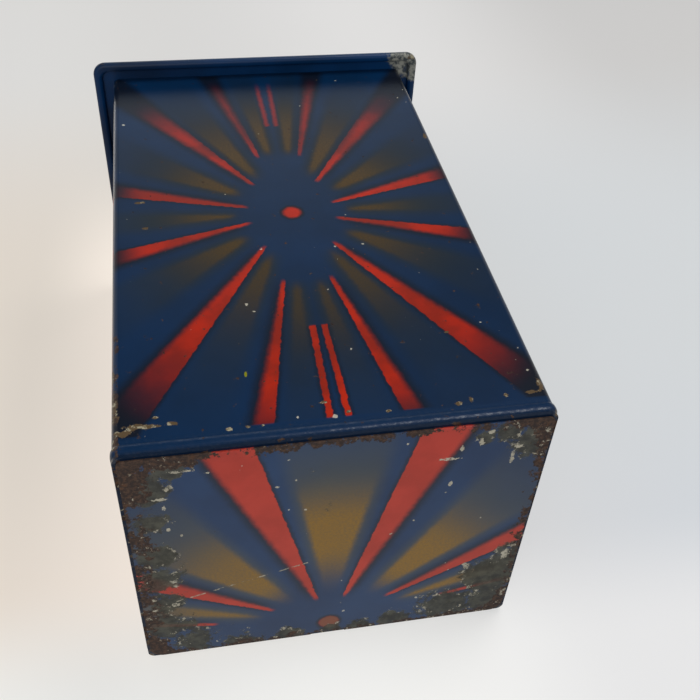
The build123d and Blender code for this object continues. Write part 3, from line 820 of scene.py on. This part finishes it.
# ---------------- head, cap and hair, in mm
HEAD_HEIGHT = 54.8
HEAD_PROFILE = [
    (0, 9), (4, 8.6), (7.4, 8.9), (9.2, 11), (13.6, 14.2), (20, 18.2), (27.7, 20.3),
    (35, 20.2), (42, 18.4), (48.4, 14.8), (52.8, 9), (HEAD_HEIGHT, 1.2),
]
EYE_X, EYE_Z = 7.4, 98.4
BROW_X = 7.6
SMILE_Z, SMILE_BEND = 83.2, 0.05  # the smile's middle, and how fast it rises with x squared
EAR_INSET, EAR_Y, EAR_Z = 5.2, 0.6, 93.6
CAP_RADIUS, CAP_RISE = 20.9, 26.1
# the rolled edge as (outwards from the cap's radius, upwards from its foot), and the side's
# (rise, radius) above that edge
CAP_ROLL = [
    (0, 1.6), (0.3, 0.5), (1, 0.12), (1.8, 0.5), (2.1, 1.3), (1.8, 2.1), (1.2, 2.6), (0.5, 2.9),
]
ROLL_TOP = CAP_ROLL[-1][1]
CAP_SIDE = [
    (0, 21.3), (3, 21), (6, 19.8), (9, 17.9), (12, 15.5), (16, 12), (20, 8.7),
    (24, 5.3), (CAP_RISE, 3.5),
]
CAP_STITCHES = 44
BOBBLE_STRANDS, BOBBLE_SEED = 620, 5
HAIR_STRANDS, HAIR_SEED = 190, 11


def mound(x, z, at_x, at_z, wide, tall=None):
    """1 at a place, dying away round it."""
    return math.exp(-((x - at_x) / wide) ** 2 - ((z - at_z) / (tall or wide)) ** 2)


def smile_line(x):
    return SMILE_Z + SMILE_BEND * x * x


def face_relief(x, z):
    """How far the turned head's front is carved out or in at x and z."""
    side = abs(x)
    relief = 1.5 * mound(side, z, 10.5, 88, 4.2)  # cheeks
    relief += 1.5 * mound(x, z, 0, 77.2, 4.6, 3.2)  # chin
    relief -= 1.5 * mound(side, z, EYE_X, EYE_Z, 3.8, 3.2)  # sockets
    relief += 1.15 * mound(side, z, EYE_X, EYE_Z - 0.1, 2.3, 1.9)  # eyeballs
    relief += 0.9 * mound(side, z, BROW_X, 102.8, 4.2, 1.3)  # brows
    relief += 0.8 * mound(x, z, 0, 98.5, 1.8, 3.6)  # bridge of the nose
    gap = z - smile_line(x)
    in_mouth = max(1 - (x / 8.6) ** 2, 0)
    relief += 0.95 * in_mouth ** 0.6 * math.exp(-((gap - 1.25) / 0.9) ** 2)
    relief += 1.15 * in_mouth ** 0.6 * math.exp(-((gap + 1.45) / 1.1) ** 2)
    relief -= 0.8 * in_mouth ** 0.4 * math.exp(-(gap / 0.4) ** 2)
    relief -= 0.6 * mound(side, z, 9.2, smile_line(9.2), 0.9)  # dimples at the mouth's corners
    return relief


def ear(side, root):
    """A round ear with a rolled rim round a hollow that faces forwards and outwards."""
    def point(s, turn):
        t = math.pi * s
        out = 1 - math.cos(t)
        tall = 4.6 * math.sin(t) ** 0.8 * math.cos(turn)
        thick = 1.5 * math.sin(t) ** 0.7 * math.sin(turn)
        hollow = 0
        if thick < 0:
            hollow = 1.3 * math.exp(-((tall / 2.6) ** 2) - ((out - 1.05) / 0.55) ** 2)
        x = side * out * (2.5 - 0.125 * abs(tall))
        return root + Vector((x, thick + hollow + 1.15 * out, tall + 0.25 * out)) * MM

    return skin("ear", rings_of(24, 36, point))


def turned_head():
    """The painted wooden head on its neck, with carved cheeks, brows, lips and ears."""
    low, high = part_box("head")
    foot = low.z / MM

    def point(t, turn):
        rise = HEAD_HEIGHT * t
        r = through(HEAD_PROFILE, rise)
        x, y = r * math.sin(turn), -r * math.cos(turn)
        front = max(-y / r, 0) ** 0.5 * clamped((rise - 7) / 3)
        grow = 1 + face_relief(x, foot + rise) * front / r
        return Vector((x * grow, y * grow, foot + rise)) * MM

    skull = skin("skull", rings_of(150, 200, point), cap_start=True, cap_end=True)
    ear_x = high.x - EAR_INSET * MM
    ears = [ear(side, Vector((side * ear_x, EAR_Y * MM, EAR_Z * MM))) for side in (-1, 1)]
    return joined("painted_head", [skull] + ears)


def felt_hat():
    """A soft pointed felt cap with a rolled edge, a rippled side and a seam up the back."""
    low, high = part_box("hat")
    base, top = low.z / MM, high.z / MM
    roll_top = base + ROLL_TOP
    outline = [(CAP_RADIUS + out, base + up) for out, up in CAP_ROLL]
    for i in range(1, 41):
        rise = CAP_RISE * i / 40
        outline.append((through(CAP_SIDE, rise), roll_top + rise))
    outline += [(2, top - 0.1), (0.5, top)]

    def point(t, turn):
        r, z = outline[round(t * (len(outline) - 1))]
        away = clamped((z - base - 3.5) / 6) * clamped((top - z) / 3)
        sway = ripple(turn, 1.3, z * 0.13)
        crush = 0.5 * math.sin(TURN * (z - base) / 7 + 2 * math.sin(turn)) * max(sway + 0.4, 0)
        reach = r + away * (0.9 * sway - 0.3 + crush)
        if z > roll_top:
            reach -= 0.45 * math.exp(-((turn - TURN / 4) * r / 0.5) ** 2)  # the seam up the back
        lip = 0.16 * ripple(turn, 4, 2) if z < base + 3 else 0
        return polar(reach, turn, z + lip) * MM

    return skin("felt_hat", rings_of(len(outline) - 1, 120, point), cap_end=True)


def hat_stitches():
    """Running stitches round the rolled edge."""
    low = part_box("hat")[0]
    threads = []
    for k in range(CAP_STITCHES):
        line = []
        for s in (0, 0.2, 0.4, 0.6, 0.8, 1):
            lift = 0.16 * MM * math.sin(math.pi * s)
            turn = TURN * (k + 0.55 * s) / CAP_STITCHES
            line.append(polar(22.35 * MM + lift, turn, low.z + 2.32 * MM + lift))
        threads.append(tube("thread", line, 0.17 * MM, 6))
    return joined("hat_stitches", threads)


def strands(name, count, seed, make_line, radius):
    """Many fine strands; make_line(random) gives each one's points."""
    chance = random.Random(seed)
    hairs = []
    for _ in range(count):
        line = make_line(chance)
        thickness = radius * chance.uniform(0.85, 1.15)
        hairs.append(tube("strand", line, thickness, 5, taper=lambda t: 1 - 0.25 * t))
    return joined(name, hairs)


def direction_from(chance):
    """A random direction, even over the sphere."""
    z = chance.uniform(-1, 1)
    return polar(math.sqrt(1 - z * z), chance.uniform(0, TURN), z)


def yarn_bobble():
    """A clipped pompom: strands of yarn from a tied middle."""
    low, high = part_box("hat_bobble")
    radius = (high.x - low.x) / 2
    centre = Vector((0, 0, high.z - radius))

    def line(chance):
        out = direction_from(chance)
        side = out.orthogonal().normalized()
        side.rotate(Matrix.Rotation(chance.uniform(0, 6.28), 3, out))
        reach = radius * chance.uniform(0.86, 0.975)
        bow = chance.uniform(-0.1, 0.1) * radius
        droop = Vector((0, 0, -0.025 * radius))
        points = []
        for s in (0.25, 0.5, 0.75, 0.9, 1):
            points.append(centre + out * reach * s + side * bow * math.sin(math.pi * s) + droop * s * s)
        return points

    return strands("yarn_bobble", BOBBLE_STRANDS, BOBBLE_SEED, line, 0.42 * MM)


def curled_hair(side):
    """A full round side tuft of curled mohair, from the cap's edge down behind the ear."""
    low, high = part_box(side_name(side) + "_hair")
    centre = (low + high) / 2
    radii = (high - low) * 0.6
    outwards = Vector((centre.x, centre.y, 0)).normalized()

    def line(chance):
        out = direction_from(chance)
        if out.dot(outwards) < -0.2:
            out -= outwards * 2 * out.dot(outwards)
        reach = chance.uniform(0.66, 0.94)
        across = out.orthogonal().normalized()
        other = out.cross(across)
        spin = chance.uniform(0, 6.28)
        curl = chance.uniform(0.4, 0.75) * MM
        bow = Vector((chance.uniform(-1, 1), chance.uniform(-1, 1), chance.uniform(-1.4, 0.4))) * 0.9 * MM
        points = []
        for k in range(15):
            s = k / 14
            twist = spin + s * TURN * 1.6
            swing = across * math.cos(twist) + other * math.sin(twist)
            middle = centre + out * radii * (0.18 + (reach - 0.18) * s) + bow * s * (1 - s)
            points.append(middle + swing * curl * min(s * 3, 1))
        return points

    return strands(side_name(side) + "_curled_hair", HAIR_STRANDS, HAIR_SEED + side, line, 0.3 * MM)


# ---------------- the jack's finishes
def around(paint):
    """The angle round Z, the distance from it, and the height."""
    x, y, z = paint.split(paint.place)
    return y.angle_with(x), (x * x + y * y).root(), z


def weave(turn, ends, along, pitch):
    """So many threads round a cloth, crossed by one at each pitch along it."""
    return (turn * ends).sine() + (along * (TURN / pitch)).sine()


def cotton(name, stripes):
    """Faded madder cotton: a fine weave, with cream stripes down the cloth where asked."""
    paint = Paint(name, Sheen_Weight=0.25, Sheen_Roughness=0.5, Specular_IOR_Level=0.25)
    turn, reach, z = around(paint)
    fade = paint.noise(90, 5, 0.6)
    threads = paint.noise(1500, 3, 0.7)
    paint.colour = paint.ramp(fade, 0.3, 0.7, rgb(142, 34, 28), rgb(172, 54, 40))
    if stripes:
        band = (turn * stripes + fade * 0.5).sine()
        cream = paint.mix(fade, rgb(196, 182, 150), rgb(222, 210, 182))
        paint.lay(paint.step(band, 0.72, 0.8), cream)
        pin = paint.step(band, 0.46, 0.52) * paint.step(band, 0.62, 0.56)
        paint.lay(pin * 0.9, rgb(36, 52, 92))
    dark_patches = paint.patches(0.5, 0.75, 40, 4, 0.6)
    paint.lay(dark_patches * 0.35, rgb(86, 62, 44))
    paint.lay(paint.step(threads, 0.62, 0.42) * 0.18, rgb(70, 24, 22))
    height = weave(turn, 300, z, 0.42 * MM) * 0.5 + threads * 0.8
    return paint.done(height, 0.06 * MM, 0.7, 0.82 + threads * 0.12)


def muslin():
    """Stiffened muslin with a wavy blue line inside its edge, yellowed where it has been handled."""
    paint = Paint("stiff_muslin", Sheen_Weight=0.15, Specular_IOR_Level=0.3)
    turn, reach, z = around(paint)
    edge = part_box("collar_ruff")[1].x
    mottle = paint.noise(120, 5, 0.6)
    threads = paint.noise(1800, 3, 0.7)
    paint.colour = paint.ramp(mottle, 0.35, 0.7, rgb(198, 186, 158), rgb(226, 218, 196))
    paint.lay(paint.mm_step(reach, 15, 10) * 0.5, rgb(150, 128, 94))
    wavy = reach + (turn * 66).sine() * 0.25 * MM
    line = paint.near_edge(wavy, edge, 3.3, 3.1) * paint.near_edge(wavy, edge, 2.3, 2.5)
    paint.lay(line * 0.9, rgb(48, 66, 110))
    paint.lay(paint.patches(0.66, 0.74, 160, 4, 0.6) * 0.4, rgb(140, 104, 64))
    height = weave(turn, 330, reach, 0.4 * MM) * 0.4 + threads
    return paint.done(height, 0.05 * MM, 0.7, 0.75 + threads * 0.15)


def felt(name, light, dark, worn):
    """Wool felt: matted fibres, pilled and rubbed in places."""
    paint = Paint(name, Sheen_Weight=0.4, Sheen_Roughness=0.6, Specular_IOR_Level=0.2, Roughness=0.92)
    fibres = paint.noise(900, 6, 0.75, distortion=1.5)
    mottle = paint.noise(120, 5, 0.6)
    paint.colour = paint.ramp(fibres, 0.3, 0.7, dark, light)
    paint.lay(paint.step(mottle, 0.55, 0.75) * 0.55, worn)
    return paint.done(fibres + mottle * 1.5, 0.18 * MM, 0.7)


def yarn(name, light, dark):
    """Spun wool: lighter in clumps, with painted shade between its fibres."""
    paint = Paint(name, Sheen_Weight=0.35, Sheen_Roughness=0.5, Specular_IOR_Level=0.25, Roughness=0.85)
    fibres = paint.noise(2600, 3, 0.7)
    paint.colour = paint.ramp(paint.noise(420, 3, 0.6), 0.32, 0.68, dark, light)
    # painted shade where the fibres' bump is low
    paint.lay(paint.step(fibres, 0.62, 0.45) * 0.35, dark)
    return paint.done(fibres, 0.08 * MM, 0.8)


def bare_wood():
    """Turned softwood: grain along Y, pores and a few dark streaks."""
    paint = Paint("turned_softwood", Specular_IOR_Level=0.35)
    x, y, z = paint.split(paint.shifted(2.2 * MM, 60))
    rings = ((x + z * 0.35 + y * 0.06) * (TURN / (2.6 * MM))).sine()
    along_grain = paint.vector_maths("MULTIPLY", paint.place, (1, 0.09, 1))
    pores = paint.noise(1500, 4, 0.65, at=along_grain)
    paint.colour = paint.ramp(rings, -0.9, 0.9, rgb(186, 148, 98), rgb(160, 116, 68))
    paint.lay(paint.step(pores, 0.4, 0.28), rgb(104, 70, 40))
    paint.lay(paint.patches(0.5, 0.8, 60) * 0.5, rgb(124, 92, 62))
    return paint.done(pores + rings * 0.12, 0.1 * MM, 0.6, 0.6 + pores * 0.25)


def oval(x, z, at_x, at_z, wide, tall):
    """The distance from an oval's middle, 1 on its edge; x and z are metres and the rest mm."""
    aside, above = (x - at_x * MM) / (wide * MM), (z - at_z * MM) / (tall * MM)
    return (aside ** 2 + above ** 2).root()


def face_paint():
    """Aged oil paint on wood: flesh, rouged cheeks, painted eyes, brows and a red smile."""
    paint = Paint("face_paint", Coat_Roughness=0.25, Specular_IOR_Level=0.45)
    x, y, z = paint.split(paint.shifted(0.25 * MM, 700))
    front = paint.mm_step(paint.split(paint.place)[1], -2, -7)
    side = abs(x)

    def lay_front(mask, colour):
        paint.lay(mask * front, colour)

    mottle = paint.noise(110, 5, 0.6)
    paint.colour = paint.ramp(mottle, 0.3, 0.7, rgb(214, 172, 140), rgb(230, 194, 164))
    cheeks = paint.step(oval(side, z, 11, 87.8, 5.4, 4.8), 1, 0.25)
    lay_front(cheeks * 0.75, rgb(196, 82, 66))
    # a tall thin lozenge behind each eye, then the lids, white, iris, pupil and a painted highlight
    lozenge = abs(side - EYE_X * MM) / (1.25 * MM) + abs(z - EYE_Z * MM) / (6.6 * MM)
    lay_front(paint.step(lozenge, 1, 0.9), rgb(40, 78, 130))
    eye = oval(side, z, EYE_X, EYE_Z, 3.05, 2.1)
    lay_front(paint.step(eye, 1.14, 1.06), rgb(44, 30, 26))
    lay_front(paint.step(eye, 1, 0.93), rgb(226, 220, 204))
    iris = oval(side, z, EYE_X - 0.3, EYE_Z + 0.1, 1.55, 1.6)
    lay_front(paint.step(iris, 1, 0.88), rgb(52, 92, 132))
    lay_front(paint.step(iris, 0.58, 0.48), rgb(16, 14, 16))
    # a painted highlight in each eye, both set towards +X
    eye_highlight = oval(x, z, 7.6, 99.2, 0.4, 0.4).below(oval(x, z, -6.6, 99.2, 0.4, 0.4))
    lay_front(paint.step(eye_highlight, 1, 0.8), rgb(240, 238, 230))
    from_brow = side - BROW_X * MM
    arch = abs(z - (103 * MM - from_brow ** 2 * 45)) + abs(from_brow) * 0.07
    brow = paint.mm_step(arch, 0.62, 0.5) * paint.mm_step(abs(from_brow), 5, 4.6)
    lay_front(brow, rgb(70, 40, 26))
    gap = abs(z - (SMILE_Z * MM + x * x * (SMILE_BEND / MM)))
    lips = paint.mm_step(gap + x * x * 26, 2.35, 2.15) * paint.mm_step(side, 9.6, 9.2)
    lay_front(lips, rgb(166, 34, 30))
    parting = paint.mm_step(gap, 0.34, 0.16) * paint.mm_step(side, 9, 8.4)
    lay_front(parting * 0.85, rgb(70, 14, 14))
    # age: fine cracks, grime, and chips down to the wood
    cells = {"Vector": paint.shifted(1.2 * MM, 300), "Scale": 380}
    cracks = paint.node("ShaderNodeTexVoronoi", {"feature": "DISTANCE_TO_EDGE"}, cells)
    crazed = paint.step(cracks, 0.035, 0.01) * paint.patches(0.4, 0.6, 70, 3)
    paint.lay(crazed * 0.4, rgb(120, 84, 60))
    paint.lay(paint.patches(0.5, 0.78, 50, 5, 0.65) * 0.3, rgb(120, 88, 62))
    chips = paint.patches(0.7, 0.72, 210, 5, 0.65)
    paint.lay(chips, rgb(150, 112, 70))
    height = (1 - chips) * 0.8 - crazed * 0.4 + mottle * 0.5
    return paint.done(height, 0.1 * MM, 0.6, 0.34 + mottle * 0.14 + chips * 0.35)


def gloss_red():
    """The nose's glossy red, chipped to the wood at a few places."""
    paint = Paint("gloss_red", Coat_Weight=0.5, Coat_Roughness=0.12)
    mottle = paint.noise(300)
    chips = paint.patches(0.69, 0.71, 420, 5, 0.65)
    paint.colour = paint.ramp(mottle, 0.3, 0.7, rgb(156, 22, 20), rgb(184, 34, 28))
    paint.lay(chips, rgb(150, 110, 70))
    height = (1 - chips) + mottle * 0.5
    return paint.done(height, 0.08 * MM, 0.5, 0.26 + chips * 0.4 + mottle * 0.08)


# ---------------- camera, light and stage
CAMERA_PLACE = Vector((163.6, -25.7, -111.1)) * MM
CAMERA_AIM = Vector((35, 5.24, 23.2)) * MM
CAMERA_UP = Vector((0.7293, 0.0873, 0.6786))
SENSOR_WIDTH, LENS = 36, 47.37
STAGE_SIZE = 6
STAGE_GAP = 0.05 * MM


def make_camera():
    back = (CAMERA_PLACE - CAMERA_AIM).normalized()
    right = CAMERA_UP.cross(back).normalized()
    data = bpy.data.cameras.new("camera")
    data.sensor_width = SENSOR_WIDTH
    data.lens = LENS
    data.clip_start = 0.01
    data.clip_end = 20
    camera = added("camera", data)
    axes = Matrix((right, back.cross(right), back)).transposed().to_4x4()
    camera.matrix_world = Matrix.Translation(CAMERA_PLACE) @ axes
    bpy.context.scene.camera = camera


def area_lamp(name, place, size, strength, colour=(1, 1, 1)):
    """A round lamp that shines at the box's middle."""
    data = bpy.data.lights.new(name, "AREA")
    data.shape = "DISK"
    data.size = size
    data.energy = strength
    data.color = colour
    lamp = added(name, data)
    lamp.location = place
    lamp.rotation_mode = "QUATERNION"
    away = Vector(place) - Vector((0, 0, burst_height))
    lamp.rotation_quaternion = away.to_track_quat("Z", "Y")


def make_light():
    world = bpy.data.worlds.new("world")
    bpy.context.scene.world = world
    world.use_nodes = True
    sky = world.node_tree.nodes["Background"].inputs
    sky["Color"].default_value = (0.96, 0.98, 1, 1)
    sky["Strength"].default_value = 0.34
    area_lamp("overhead", (0.85, 0.3, 0.22), 0.45, 4.2, (1, 0.98, 0.95))
    area_lamp("front", (0.45, -0.25, -0.75), 0.7, 4.5)
    area_lamp("above", (-0.3, -0.45, 0.95), 0.7, 2.2)
    area_lamp("high", (0.46, 0.08, 1.02), 0.6, 1, (0.8, 0.9, 1))
    area_lamp("behind", (-0.75, 0.55, 0.35), 0.7, 0.8)


def stage_material(name):
    """White card, seen from its front only, with light and shade painted on it: warm to one side, cool to
    the other, brighter in front.
    """
    paint = Paint(name, Roughness=1, Specular_IOR_Level=0, Emission_Strength=0.85)
    x, y, z = paint.split(paint.place)
    rightwards = paint.step(y, -0.1, 0.12)
    # light and shade painted on the card: warm at -Y and cool at +Y, greyer where the box's shadow falls
    # and paler where light falls
    paint.colour = paint.mix(rightwards, rgb(204, 196, 186), rgb(192, 195, 197))
    below = paint.mix(rightwards, rgb(219, 208, 196), rgb(190, 194, 200))
    paint.lay(paint.step(z, 0.1, -0.04), below)
    # a painted pool of light along the box's -Y side, over its shadow there
    lit_beside = paint.step(abs(y + 0.042), 0.038, 0) * paint.step(z, 0.24, 0.13)
    paint.lay(lit_beside * 0.62, rgb(250, 238, 226))
    # painted light in front of the box, palest before its middle
    lit_in_front = paint.mix(rightwards, rgb(220, 220, 217), rgb(209, 209, 210))
    lit_in_front = paint.mix(paint.step(abs(y), 0.07, 0) * 0.65, lit_in_front, rgb(236, 236, 233))
    paint.lay(paint.step(z, 0.026, -0.012), lit_in_front)
    # beyond the lid the card is grey, with a painted glow a little to +Y
    beyond = paint.mix(rightwards, rgb(202, 201, 199), rgb(187, 186, 185))
    beyond = paint.mix(paint.step(abs(y - 0.08), 0.13, 0) * 0.6, beyond, rgb(216, 215, 214))
    paint.lay(paint.step(z, 0.15, 0.32), beyond)
    # most of the card's light is its own, so that the object's shadow on it stays soft and pale;
    # the glow is for the camera and for reflections, and doesn't light the object otherwise
    black = (0, 0, 0, 1)
    paint.link(paint.mix(0.4, black, paint.colour), "Base Color")
    seen = paint.node("ShaderNodeLightPath", output="Is Camera Ray")
    seen = seen.above(paint.node("ShaderNodeLightPath", output="Is Glossy Ray"))
    paint.link(paint.mix(seen, black, paint.colour), "Emission Color")
    behind = paint.node("ShaderNodeNewGeometry", output="Backfacing")
    clear = paint.node("ShaderNodeBsdfTransparent")
    front = Wire(paint, paint.shader.outputs[0])
    shader = paint.node("ShaderNodeMixShader", {}, {0: behind, 1: front, 2: clear})
    paint.tree.links.new(shader.socket, paint.tree.nodes["Material Output"].inputs["Surface"])
    return paint.material


def stage_plane(name, centre, normal, material):
    mesh = bpy.data.meshes.new(name)
    turn = Vector(normal).to_track_quat("Z", "Y")
    half = STAGE_SIZE / 2
    corners = [(-half, -half, 0), (half, -half, 0), (half, half, 0), (-half, half, 0)]
    corners = [turn @ Vector(corner) + Vector(centre) for corner in corners]
    mesh.from_pydata(corners, [], [(0, 1, 2, 3)])
    mesh.materials.append(material)
    plane = added(name, mesh)
    plane.visible_shadow = False
    plane.visible_diffuse = False


def make_stage():
    """The table that the box lies on, touching its foot and its lid, and the ground under its foot."""
    rest_low = Vector((body_low.x, 0, 2.5 * MM))
    rest_high = Vector((lid_low.x, 0, lid_low.z + 1.2 * MM))
    along = (rest_high - rest_low).normalized()
    normal = Vector((along.z, 0, -along.x))
    stage_plane("table", rest_low - normal * STAGE_GAP, normal, stage_material("table_card"))
    stage_plane("ground", (0, 0, -STAGE_GAP), (0, 0, 1), stage_material("ground_card"))


make_camera()
make_stage()
make_light()
bpy.context.scene.view_settings.view_transform = "Standard"


# ---------------- dressing
def finish_nodes(material, *nodes):
    """Give CAD nodes their material."""
    for node in nodes:
        for slot in bpy.data.objects[node].material_slots:
            slot.material = material


def wear(piece, material, body, slot, *replaced):
    """Give a piece its finish, its body and the CAD nodes that it stands for."""
    piece.data.materials.append(material)
    if body:
        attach(piece, body)
    if replaced:
        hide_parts(*replaced)
    return piece


finish_nodes(blue_tin(), "body_shell")
finish_nodes(lid_tin(), "lid_plate")
finish_nodes(base_tin(), "bottom_plate")
steel = metal("dull_steel", rgb(150, 146, 138), rgb(96, 92, 86), 0.35)
finish_nodes(steel, "body_hinge_leaf", "hinge_pin", "hinge_rivets", "base_staples", "neck_staples")
brass = metal("old_brass", rgb(170, 134, 66), rgb(104, 80, 40), 0.32)
finish_nodes(brass, "catch_plate", "catch_rivets", "catch_stud", "catch_hook", "catch_eye")
finish_nodes(bare_wood(), "base_disc", "neck_disc", "neck_dowel")
finish_nodes(gloss_red(), "nose")

wire = metal("blued_wire", rgb(120, 118, 122), rgb(56, 56, 64), 0.3)
coil = wear(spring_coil(), wire, None, "spring_steel", "spring")
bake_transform(coil)

cloth = wear(costume_cloth(), cotton("striped_cotton", 13), None, "costume_cloth", "costume")
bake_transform(cloth)
tacks = wear(hem_tacks(), steel, "box", "plain_steel")

plain_cotton = cotton("plain_cotton", 0)
thread = yarn("linen_thread", rgb(210, 198, 170), rgb(150, 136, 108))
hand_wool = felt("hand_felt", rgb(216, 204, 176), rgb(176, 160, 128), rgb(140, 116, 84))
for side, name in ((1, "left"), (-1, "right")):
    wear(puff_sleeve(side), plain_cotton, "jack", "costume_cloth", name + "_sleeve")
    mitten = wear(felt_hand(side), hand_wool, "jack", "hand_felt", name + "_hand")
    wear(hand_stitches(side), thread, "jack", "hand_felt")
    mohair = yarn("mohair_" + name, rgb(196, 112, 48), rgb(124, 58, 20))
    wear(curled_hair(side), mohair, "jack", "hair_wool", name + "_hair")

ruff = wear(pleated_ruff(), muslin(), "jack", "ruff_cloth", "collar_ruff")
head = wear(turned_head(), face_paint(), "jack", "face_paint", "head")
hat_wool = felt("hat_felt", rgb(214, 166, 66), rgb(172, 124, 40), rgb(150, 112, 58))
hat = wear(felt_hat(), hat_wool, "jack", "hat_felt", "hat")
cap_thread = wear(hat_stitches(), thread, "jack", "hat_felt")
bobble_wool = yarn("bobble_wool", rgb(176, 44, 34), rgb(104, 22, 20))
wear(yarn_bobble(), bobble_wool, "jack", "bobble_wool", "hat_bobble")
